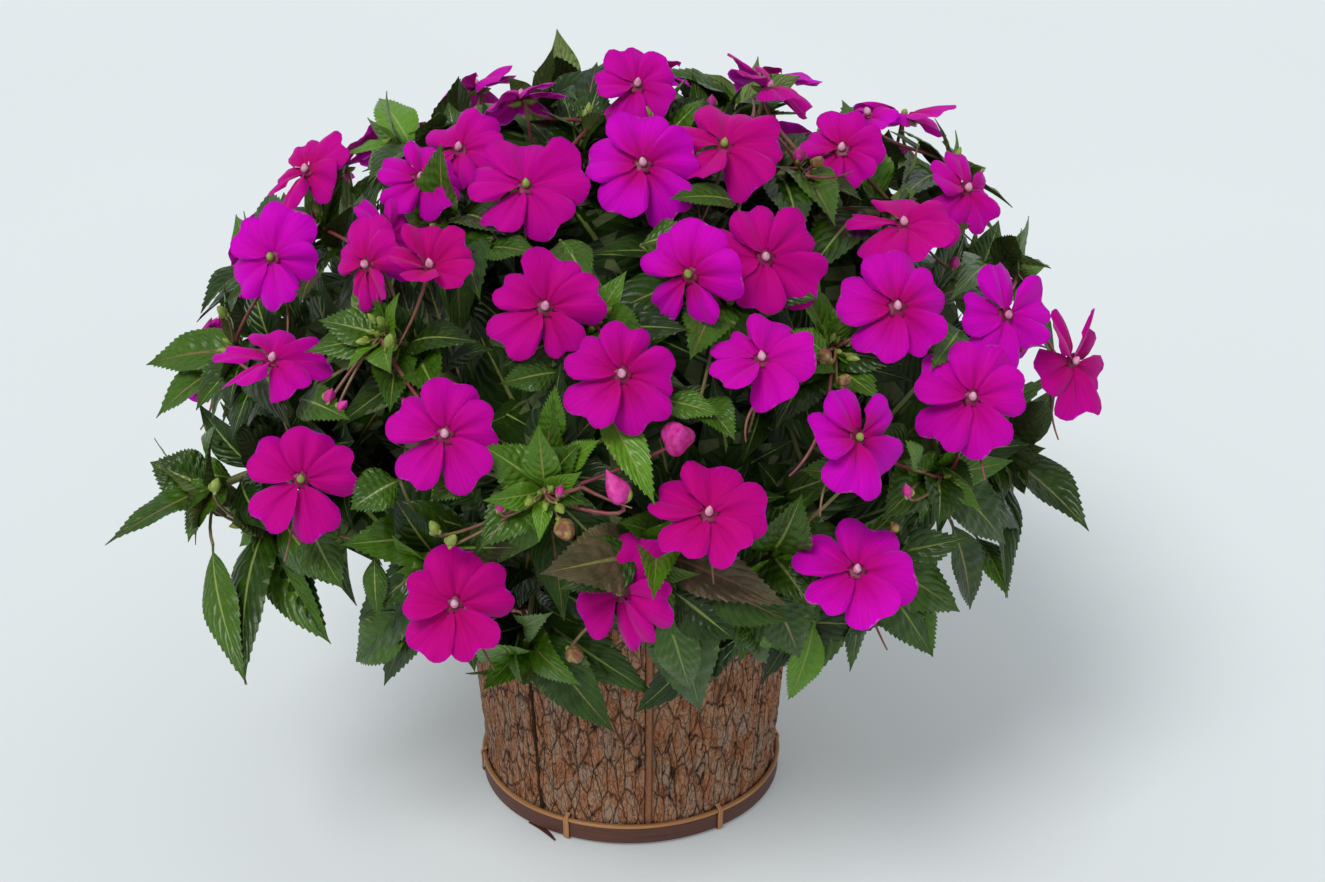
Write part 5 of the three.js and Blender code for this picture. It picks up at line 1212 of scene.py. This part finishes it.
for index, stem in enumerate(stems):
    bundle = new_bundle()
    foot = stem["root"] - [0, 0, HOLE_DEPTH - 2]
    trunk = [foot, stem["root"] + [0, 0, 40], stem["fork"]]
    trunk_radii = np.linspace(STEM_RADIUS, STEM_RADIUS * 0.85, TRUNK_STEPS)
    put_curve(bundle, trunk, TRUNK_STEPS, trunk_radii, STEM_SLOT, 0.25, sides=12)
    for shoot in stem["shoots"]:
        at, heading = shoot["at"], shoot["heading"]
        level, steep = around_of(heading)
        branch_radii = np.linspace(BRANCH_RADIUS * 1.2, BRANCH_RADIUS, BRANCH_STEPS)
        put_round(bundle, shoot["branch"], branch_radii, STEM_SLOT, 0.35)
        form = FINE_LEAF if shoot["shown"] else FAR_LEAF
        for place, (tip, wide, tone) in enumerate(shoot["leaves"]):
            base = at - heading * (2 + 3 * place)
            leaf_tone = tone + spread(0.2 if tone > 0 else 0.05)
            put_leaf(bundle, base, tip, leaf_up(base, tip), wide, leaf_tone, form)
        for foot_point, tip, wide, tone in shoot["small_leaves"]:
            stalk = [at - heading * 6, (at + foot_point) / 2 + heading * 4, foot_point]
            put_curve(bundle, stalk, 7, LEAF_STALK_RADIUS, STEM_SLOT, 0.4)
            put_leaf(bundle, foot_point, tip, leaf_up(foot_point, tip, 0.5), wide, tone)
        first = random() * 2 * math.pi

        # the young rosette at the growing tip
        for turn in range(YOUNG_LEAVES):
            round_by = first + turn * PLACING_ANGLE
            side = turned_to(level, steep, round_by)
            reach = YOUNG_LEAF_REACH + YOUNG_LEAF_GROWTH * turn
            tip = behind_blooms(at + heading * (YOUNG_LEAF_RISE - turn) + side * reach * 0.75)
            up = unit(heading * 1.4 - side * 0.6)
            wide, tone = reach * YOUNG_LEAF_SLIMNESS, 0.85 - 0.07 * turn
            put_leaf(bundle, at + heading, tip, up, wide, tone, YOUNG_LEAF, YOUNG_LEAF_ARCH)

        # older leaves further down the branch
        for turn in range(INNER_LEAVES):
            round_by = first + turn * PLACING_ANGLE + 0.8
            start = shoot["branch"][int(5 + 11 * (1 - (turn / INNER_LEAVES) ** 0.8))]
            side = turned_to(level, steep, round_by)
            reach = INNER_LEAF_REACH + spread(14)
            tip = behind_blooms(inside_crown(start + unit(side + heading * 0.35) * reach, INNER_LEAF_DEPTH))
            wide, tone = reach * INNER_LEAF_SLIMNESS, INNER_LEAF_TONE + spread(0.12)
            put_leaf(bundle, start, tip, leaf_up(start, tip, 0.2), wide, tone, PLAIN_LEAF)

        # dark large leaves deep in the crown
        for turn in range(DEEP_LEAVES):
            round_by = first + turn * PLACING_ANGLE + 1.9
            start = shoot["branch"][3 + turn * 8 // DEEP_LEAVES]
            side = turned_to(level, steep, round_by)
            reach = DEEP_LEAF_REACH + spread(16)
            tip = inside_crown(start + unit(side + heading * spread(0.3)) * reach, DEEP_LEAF_DEPTH)
            wide = reach * DEEP_LEAF_SLIMNESS
            put_leaf(bundle, start, tip, leaf_up(start, tip, 0.4), wide, DEEP_LEAF_TONE, DEEP_LEAF)
    node = f"leafy_stem_{index + 1:02d}"
    leafy = bundle_object(f"foliage_{index + 1:02d}", bundle, [leaf_upper, leaf_lower, stem_skin])
    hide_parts(node)


# Blooms and buds
# Each bloom has five overlapping notched petals round a small crimson throat with a pale
# anther cap, and a long thin spur behind. It stands on a red stalk from the shoot's tip.
PETAL_HALF_ANGLE = math.radians(42)
PETAL_SIZES = [0.98, 0.98, 1.02, 1.02, 0.98]
PETAL_WIDTHS = [1.1, 0.98, 0.93, 0.93, 0.98]
PETAL_GRID = 15
EYE_RADIUS = 2.0
PEDICEL_RADIUS = 1.0
OLD_BLOOMS = 0.25
SPRAY_BUDS = 5
KNOB_RISE = 3.2
SPUR_DEPTH = 0.985
PETALS = 5
PETAL_BLOTCH = 16
PETAL_LINES = 16
PETAL_LINE_STRETCH = 1.4
SKIN_SPOT = 3
PETAL_THICKNESS = 0.55
PETAL_NOTCH = 0.13
PETAL_CREASE = 0.085
PETAL_TILT = 0.22
SPUR_LENGTH = 40
PETAL_MAGENTA = "c400b2"
PETAL_DEEP = "b40074"
PETAL_CRIMSON = "a8005a"
PETAL_BACK = "c22a9c"
THROAT = "7c003f"
ANTHER = "d2a3b7"
OVARY = "93a648"
BUD_GREEN = "7d8c3f"
BUD_PINK = "d03a9e"
ANTHER_PINK = "c46a94"
THROAT_DARK = "5a0028"
BUD_DEEP = "b0206a"
CAPSULE_BROWN = "7a4a3c"
CAPSULE_GREEN = "9a8a4a"

# More buds and seed capsules that the photograph shows: place, length, facing and kind
SHOWN_BUDS = [
    ((330, 395), 11, (0.3, 0.8), "pink"), ((343, 405), 9, (0.6, 0.6), "pink"),
    ((500, 505), 9, (0, 1), "pink"), ((405, 403), 8, (-0.3, 1), "pink"),
    ((560, 490), 8, (0.2, 1), "pink"), ((565, 530), 16, (0.3, -0.6), "capsule"),
    ((434, 527), 10, (-0.4, 0.8), "green"), ((452, 540), 10, (0.4, 0.6), "green"),
    ((712, 100), 9, (0, 1), "pink"), ((800, 153), 12, (0.2, 1), "pink"),
    ((818, 162), 10, (0.6, 0.5), "capsule"), ((955, 262), 10, (0.3, 0.8), "pink"),
    ((907, 490), 10, (-0.2, 0.9), "pink"), ((895, 528), 8, (0.2, -0.4), "capsule"),
    ((205, 497), 13, (-0.4, 0.7), "green"), ((216, 485), 11, (0.3, 0.9), "green"),
    ((575, 655), 14, (0.4, -0.3), "capsule"), ((390, 342), 12, (0.1, 0.9), "green"),
    ((825, 355), 10, (-0.3, 0.8), "capsule"), ((845, 380), 10, (0.5, 0.4), "capsule"),
    ((666, 590), 11, (0.3, 0.7), "pink"), ((222, 311), 10, (-0.6, 0.6), "green"),
]

# Thin spurs that hang free of their blooms: from, by way of, to
SHOWN_SPURS = [
    ((757, 402), (742, 420), (746, 442)), ((818, 435), (806, 462), (789, 476)),
    ((582, 487), (606, 500), (632, 508)), ((805, 175), (826, 182), (853, 172)),
    ((1020, 352), (1036, 340), (1050, 350)), ((752, 118), (756, 108), (752, 98)),
]


# Petal skin: velvety and saturated, crimson towards the eye, with fine lines that run out
def petal_material(name, outer, deep, centre, centre_reach):
    petal = new_material(name)
    uv = add(petal, "UVMap", uv_map="surface")
    out = add(petal, "SeparateXYZ", {0: uv})
    chance = add(petal, "Attribute", attribute_name="chance", out="Fac")
    tone = add(petal, "Attribute", attribute_name="tone", out="Fac")
    line_place = add(petal, "Mapping", {"Vector": uv, "Scale": (PETAL_LINE_STRETCH, PETAL_LINES, 1)})
    lines = add(petal, "TexNoise", {"Vector": line_place, "Scale": 1.0, "Detail": 4, "Roughness": 0.55})
    place = add(petal, "TexCoord", out="Object")
    blotch = add(petal, "TexNoise", {"Vector": place, "Scale": 1 / (PETAL_BLOTCH * MM)})
    skin = add(petal, "Mix", {0: chance, 6: outer, 7: deep}, **MIXED_COLOUR)
    wander = add(petal, "Math", {0: lines, 1: 0.35, 2: out}, operation="MULTIPLY_ADD")
    drift = add(petal, "Math", {0: blotch, 1: 0.3, 2: wander}, operation="MULTIPLY_ADD")
    near = add(
        petal, "MapRange",
        {"Value": drift, "From Min": 0.4, "From Max": centre_reach, "To Min": 1.0, "To Max": 0.0},
        **EASED,
    )
    warm = add(petal, "Math", {0: near, 1: tone}, operation="MULTIPLY")
    coloured = add(petal, "Mix", {0: warm, 6: skin, 7: centre}, **MIXED_COLOUR)
    shade = add(
        petal, "MapRange", {"Value": lines, "From Min": 0.3, "From Max": 0.7, "To Min": 0.86, "To Max": 1.12}
    )
    shaded = add(petal, "VectorMath", {0: coloured, 3: shade}, operation="SCALE")
    bump = add(petal, "Bump", {"Height": lines, "Strength": 0.35, "Distance": 0.5 * MM})
    finish_material(petal, add(
        petal, "BsdfPrincipled",
        {"Base Color": shaded, "Roughness": 0.7, "IOR": 1.36, "Specular IOR Level": 0.1,
         "Subsurface Weight": 0.4, "Subsurface Radius": (1.0, 0.25, 0.8), "Subsurface Scale": 2.5 * MM,
         "Sheen Weight": 0.07, "Sheen Roughness": 0.4, "Normal": bump},
    ))
    return petal


# Velvety upper side of a petal: magenta, deeper towards the eye
petal_face = petal_material("velvety_petal_face", PETAL_MAGENTA, PETAL_DEEP, PETAL_CRIMSON, 1.15)
# Paler and pinker lower side
petal_back = petal_material("velvety_petal_back", PETAL_BACK, PETAL_MAGENTA, PETAL_BACK, 0.9)


# Small soft parts of a flower: one skin colour, mottled towards a second
def flower_skin(name, colour, mottle, roughness):
    skin = new_material(name)
    place = add(skin, "TexCoord", out="Object")
    spots = add(skin, "TexNoise", {"Vector": place, "Scale": 1 / (SKIN_SPOT * MM), "Detail": 3})
    share = add(skin, "MapRange", {"Value": spots, "From Min": 0.42, "From Max": 0.66})
    mixed = add(skin, "Mix", {0: share, 6: colour, 7: mottle}, **MIXED_COLOUR)
    finish_material(skin, add(
        skin, "BsdfPrincipled", {"Base Color": mixed, "Roughness": roughness, "IOR": 1.4},
    ))
    return skin


# Powdery anther cap, almost white
anther_skin = flower_skin("powdery_anther_cap", ANTHER, ANTHER_PINK, 0.7)
# Moist dark throat round it
throat_skin = flower_skin("moist_flower_throat", THROAT, THROAT_DARK, 0.45)
# Glossy green of ovaries, sepals and seed capsules
sepal_skin = flower_skin("glossy_green_sepal", BUD_GREEN, OVARY, 0.35)
# Folded petals of a bud that is about to open
bud_skin = flower_skin("folded_bud_petal", BUD_PINK, BUD_DEEP, 0.5)
# Dry brown of an old capsule
capsule_skin = flower_skin("dry_capsule_husk", CAPSULE_BROWN, CAPSULE_GREEN, 0.55)
FLOWER_MATERIALS = [
    petal_face, petal_back, stem_skin, anther_skin, throat_skin, sepal_skin, bud_skin, capsule_skin
]
ANTHER_SLOT, THROAT_SLOT, SEPAL_SLOT, BUD_SLOT, CAPSULE_SLOT = range(3, 8)
BUD_SLOTS = {"green": SEPAL_SLOT, "pink": BUD_SLOT, "magenta": BUD_SLOT, "capsule": CAPSULE_SLOT}


# Two directions in a flower's face
def flower_axes(normal):
    across = unit(np.cross([0, 1, 0] if abs(normal[2]) > 0.9 else [0, 0, 1], normal))
    return across, np.cross(normal, across)


# A bloom: five petals of two skins, the throat, the anther cap or ovary, the stalk, the spur
# and two sepals
def put_bloom(bundle, flower, knob, heading):
    eye, normal, radius = flower["eye"], flower["normal"], flower["radius"]
    across, above = flower_axes(normal)
    spin = math.pi / 2 + spread(0.35)
    blush = 0.35 + 0.65 * random()
    hue = random()
    if flower["hue"] is not None:
        hue, blush = flower["hue"], 1
    p = np.linspace(0, 1, PETAL_GRID)[:, None]
    q = np.linspace(-1, 1, PETAL_GRID)[None, :]
    for turn in range(PETALS):
        axis = spin + turn * 2 * math.pi / PETALS + spread(0.09)
        size = radius * PETAL_SIZES[turn] * (1.05 + spread(0.1))
        half_angle = PETAL_HALF_ANGLE * PETAL_WIDTHS[turn] * (1 + spread(0.12))
        angle = axis + q * half_angle * (0.62 + 0.38 * smoothstep(0, 0.45, p))
        notch = (PETAL_NOTCH + spread(0.05)) * np.exp(-(((q - spread(0.16)) / 0.24) ** 2))
        edge = 0.5 + 0.5 * (1 - np.abs(q) ** 2.6) ** 0.55
        reach = size * edge * (1 - notch) * (1 + q * spread(0.07))
        out = EYE_RADIUS + p * (reach - EYE_RADIUS)
        ruffle = size * p**2 * (
            (0.05 + spread(0.03)) * np.sin(q * 4.2 + spread(3)) + 0.022 * np.sin(q * 11 + spread(3))
        )
        crease = np.exp(-((q / 0.16) ** 2)) * np.sin(math.pi * np.minimum(p * 1.02, 1)) ** 0.7
        crease = -PETAL_CREASE * size * crease
        tilt = q * out * (PETAL_TILT + spread(0.1))
        pitch = out * (spread(0.17) - 0.03)
        curl = (spread(0.09) - 0.08) * size * p**3 + 0.07 * size * np.sin(math.pi * p)
        height = flower["cup"] * out + ruffle + crease + tilt + pitch + curl
        direction = across * np.cos(angle)[..., None] + above * np.sin(angle)[..., None]
        face = eye + direction * out[..., None] + normal * height[..., None]
        thick = PETAL_THICKNESS * (1 - p**8) * (1 - np.abs(q) ** 8)
        back = face - normal * thick[..., None]
        uv = np.stack([out / radius, np.broadcast_to(q, out.shape)], axis=2).reshape(-1, 2)
        front_faces = grid_faces(PETAL_GRID, PETAL_GRID, flip=True)
        put(bundle, face.reshape(-1, 3), front_faces, FACE_SLOT, uv, blush, hue)
        put(bundle, back.reshape(-1, 3), grid_faces(PETAL_GRID, PETAL_GRID), BACK_SLOT, uv, blush, hue)
    lift = flower["cup"] * EYE_RADIUS
    throat = [eye + normal * (lift + rise) for rise in (-1.4, -0.7, 0.1, 0.5, 0.7)]
    put_round(bundle, throat, [1.4, 4.6, 4.9, 3.2, 0.2], THROAT_SLOT, sides=15, ridges=0.14)
    lean = unit(above + across * spread(0.3))
    cap = [
        eye + normal * (lift + 0.5 + 3.6 * share) + lean * (-0.4 + 3.0 * share**1.6)
        for share in np.linspace(0, 1, 8)
    ]
    cap_slot = SEPAL_SLOT if random() < OLD_BLOOMS else ANTHER_SLOT
    put_round(bundle, cap, [0.7, 1.4, 1.8, 2.0, 1.9, 1.6, 1.1, 0.2], cap_slot, sides=10)
    back = eye - normal * 1.5
    stalk = [back, back - normal * 18, knob + heading * 16, knob]
    put_curve(bundle, stalk, 14, PEDICEL_RADIUS, STEM_SLOT, 0.75, sides=7)
    down = unit(np.array([spread(0.5), spread(0.5), -1.0]))
    bend = back - normal * 12 + down * SPUR_LENGTH / 2
    spur = [back + lean * 2, back - normal * 9, bend, back + down * SPUR_LENGTH]
    put_curve(bundle, spur, 14, np.linspace(1.3, 0.45, 14), STEM_SLOT, 0.65)
    for side in (-1, 1):
        aside = across * side
        sepal = [back, back - normal * 2 + aside * 4, back - normal + aside * 9]
        put_curve(bundle, sepal, 8, [0.5, 1.2, 1.7, 1.9, 1.7, 1.3, 0.8, 0.1], SEPAL_SLOT)


# A bud of rolled petals, a green bud or a seed capsule, with its sepals. It gives its foot.
def put_bud(bundle, centre, normal, size, kind):
    shares = np.linspace(0, 1, 12)
    rolled = kind in ("magenta", "pink")
    swell = np.sin(math.pi * shares ** (0.62 if rolled else 0.8)) ** (1.1 if rolled else 0.75)
    line = centre + normal * ((shares - 0.5) * size)[:, None]
    fat = 0.3 if kind in ("magenta", "capsule") else 0.25
    form = {"sides": 15, "ridges": 0.07}
    if rolled:
        form = {"sides": 24, "ridges": 0.15, "folds": 3, "twist": 0.28}
    put_round(bundle, line, np.maximum(swell * size * fat, 0.15), BUD_SLOTS[kind], **form)
    across, above = flower_axes(normal)
    low = centre - normal * size * 0.46
    for turn in range(2 if kind == "magenta" else 3):
        side = turned_to(across, above, turn * 2.1) * size
        high = normal * size
        sepal = [low, low + side * 0.3 + high * 0.05, low + side * 0.28 + high * 0.4]
        sepal_radii = size * 0.1 * np.sin(np.linspace(0.3, math.pi - 0.05, 8))
        put_curve(bundle, sepal, 8, sepal_radii, SEPAL_SLOT)
    return low


sprays = [shoot for shoot in shoots if shoot["blooms"] or shoot["buds"]]
for shoot in sprays:
    shoot["knob"] = shoot["at"] + shoot["heading"] * KNOB_RISE
    shoot["extras"] = []
    shoot["spurs"] = []
for pixel, size, face, kind in SHOWN_BUDS:
    centre = crown_point(pixel, LEAF_DEPTH)
    nearest_shoot(centre, sprays)["extras"].append((centre, facing(centre, face), size, kind))
for route in SHOWN_SPURS:
    points = [crown_point(pixel, SPUR_DEPTH) for pixel in route]
    nearest_shoot(points[0], sprays)["spurs"].append(points)

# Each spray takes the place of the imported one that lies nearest.
spray_nodes = sorted(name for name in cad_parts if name.startswith("bloom_spray"))
node_middles = {name: np.mean(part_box(name), axis=0) / MM for name in spray_nodes}
pairs = []
for place, shoot in enumerate(sprays):
    parts = [bloom["eye"] for bloom in shoot["blooms"]] + [bud["centre"] for bud in shoot["buds"]]
    parts.append(shoot["knob"])
    middle = (np.min(parts, axis=0) + np.max(parts, axis=0)) / 2
    pairs += [(np.linalg.norm(middle - node_middles[name]), place, name) for name in spray_nodes]
node_of = {}
for _, place, name in sorted(pairs):
    if place not in node_of and name not in node_of.values():
        node_of[place] = name
for place, shoot in enumerate(sprays):
    bundle = new_bundle()
    knob, heading = shoot["knob"], shoot["heading"]
    knob_line = [knob + heading * step for step in (-3, -1.5, 0, 1.5, 2.6)]
    put_round(bundle, knob_line, [1.2, 2.2, 2.6, 1.8, 0.2], STEM_SLOT, 0.4)
    for flower in shoot["blooms"]:
        put_bloom(bundle, flower, knob, heading)
    for bud in shoot["buds"]:
        low = put_bud(bundle, bud["centre"], bud["normal"], bud["size"], bud["kind"])
        stalk = [low, low - bud["normal"] * 14, knob + heading * 12, knob]
        put_curve(bundle, stalk, 10, PEDICEL_RADIUS, STEM_SLOT, 0.8, sides=8)
    for centre, normal, size, kind in shoot["extras"]:
        low = put_bud(bundle, centre, normal, size, kind)
        put_curve(bundle, [low, low - normal * 10, knob + heading * 8, knob], 12, 0.75, STEM_SLOT, 0.6)
    for points in shoot["spurs"]:
        stalk = [knob, (knob + points[0]) / 2 + heading * 8, points[0]]
        put_curve(bundle, stalk, 8, 0.9, STEM_SLOT, 0.8)
        put_curve(bundle, points, 12, np.linspace(0.95, 0.4, 12), STEM_SLOT, 0.75)
    level, steep = around_of(heading)
    for turn in range(SPRAY_BUDS):
        round_by = turn * PLACING_ANGLE + place
        side = turned_to(level, steep, round_by)
        centre = knob + heading * (7 + turn) + side * (3 + 1.4 * turn)
        low = put_bud(bundle, centre, unit(heading + side * 0.5), 5 + turn * 0.9, "green")
        stalk = [low, (low + knob) / 2 + side * 0.8, knob]
        put_round(bundle, stalk, 0.55, STEM_SLOT, 0.3, sides=5)
    spray = bundle_object(f"bloom_group_{place + 1:02d}", bundle, FLOWER_MATERIALS)
    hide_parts(node_of[place])


# Floor and light
# A plain pale floor, a wide soft light from the upper left and an even pale sky stand for a
# bright room. They aren't part of the plant.
FLOOR_PALE = "cacfd0"
FLOOR_PALER = "ced2d3"
FLOOR_GLOW = 0.17
FLOOR_DROP = 0.6
FLOOR_PATCHES_PER_METRE = 1.2
FLOOR_SIZE = 16000
SKY = "eef4f7"
SKY_STRENGTH = 0.62
KEY_STRENGTH = 2.0
KEY_SPREAD = math.radians(24)
KEY_TURN = (math.radians(38), 0, math.radians(-28))

# Matt white board: pale and even, with no mirror image of the planter
floor_skin = new_material("matt_white_board")
floor_place = add(floor_skin, "TexCoord", out="Object")
floor_noise = add(floor_skin, "TexNoise", {"Vector": floor_place, "Scale": FLOOR_PATCHES_PER_METRE})
floor_share = add(floor_skin, "MapRange", {"Value": floor_noise, "From Min": 0.3, "From Max": 0.7})
floor_colour = add(floor_skin, "Mix", {0: floor_share, 6: FLOOR_PALE, 7: FLOOR_PALER}, **MIXED_COLOUR)
finish_material(floor_skin, add(
    floor_skin, "BsdfPrincipled",
    {"Base Color": floor_colour, "Roughness": 0.9, "IOR": 1.45, "Specular IOR Level": 0.1,
     "Emission Color": SKY, "Emission Strength": FLOOR_GLOW},
))
floor_mesh = bpy.data.meshes.new("floor")
half_floor = FLOOR_SIZE / 2 * MM
floor_mesh.from_pydata(
    [(x * half_floor, y * half_floor, -FLOOR_DROP * MM) for x, y in ((-1, -1), (1, -1), (1, 1), (-1, 1))],
    [], [(0, 1, 2, 3)],
)
floor_mesh.materials.append(floor_skin)
floor = bpy.data.objects.new("floor", floor_mesh)
bpy.context.scene.collection.objects.link(floor)

# The wide soft light from the upper left, and the even sky
key = bpy.data.lights.new("key", "SUN")
key.energy = KEY_STRENGTH
key.angle = KEY_SPREAD
key_object = bpy.data.objects.new("key", key)
key_object.rotation_euler = KEY_TURN
bpy.context.scene.collection.objects.link(key_object)
world = bpy.data.worlds.new("sky")
world.use_nodes = True
world.node_tree.nodes["Background"].inputs["Color"].default_value = linear(SKY)
world.node_tree.nodes["Background"].inputs["Strength"].default_value = SKY_STRENGTH
bpy.context.scene.world = world
bpy.context.scene.view_settings.view_transform = "Standard"
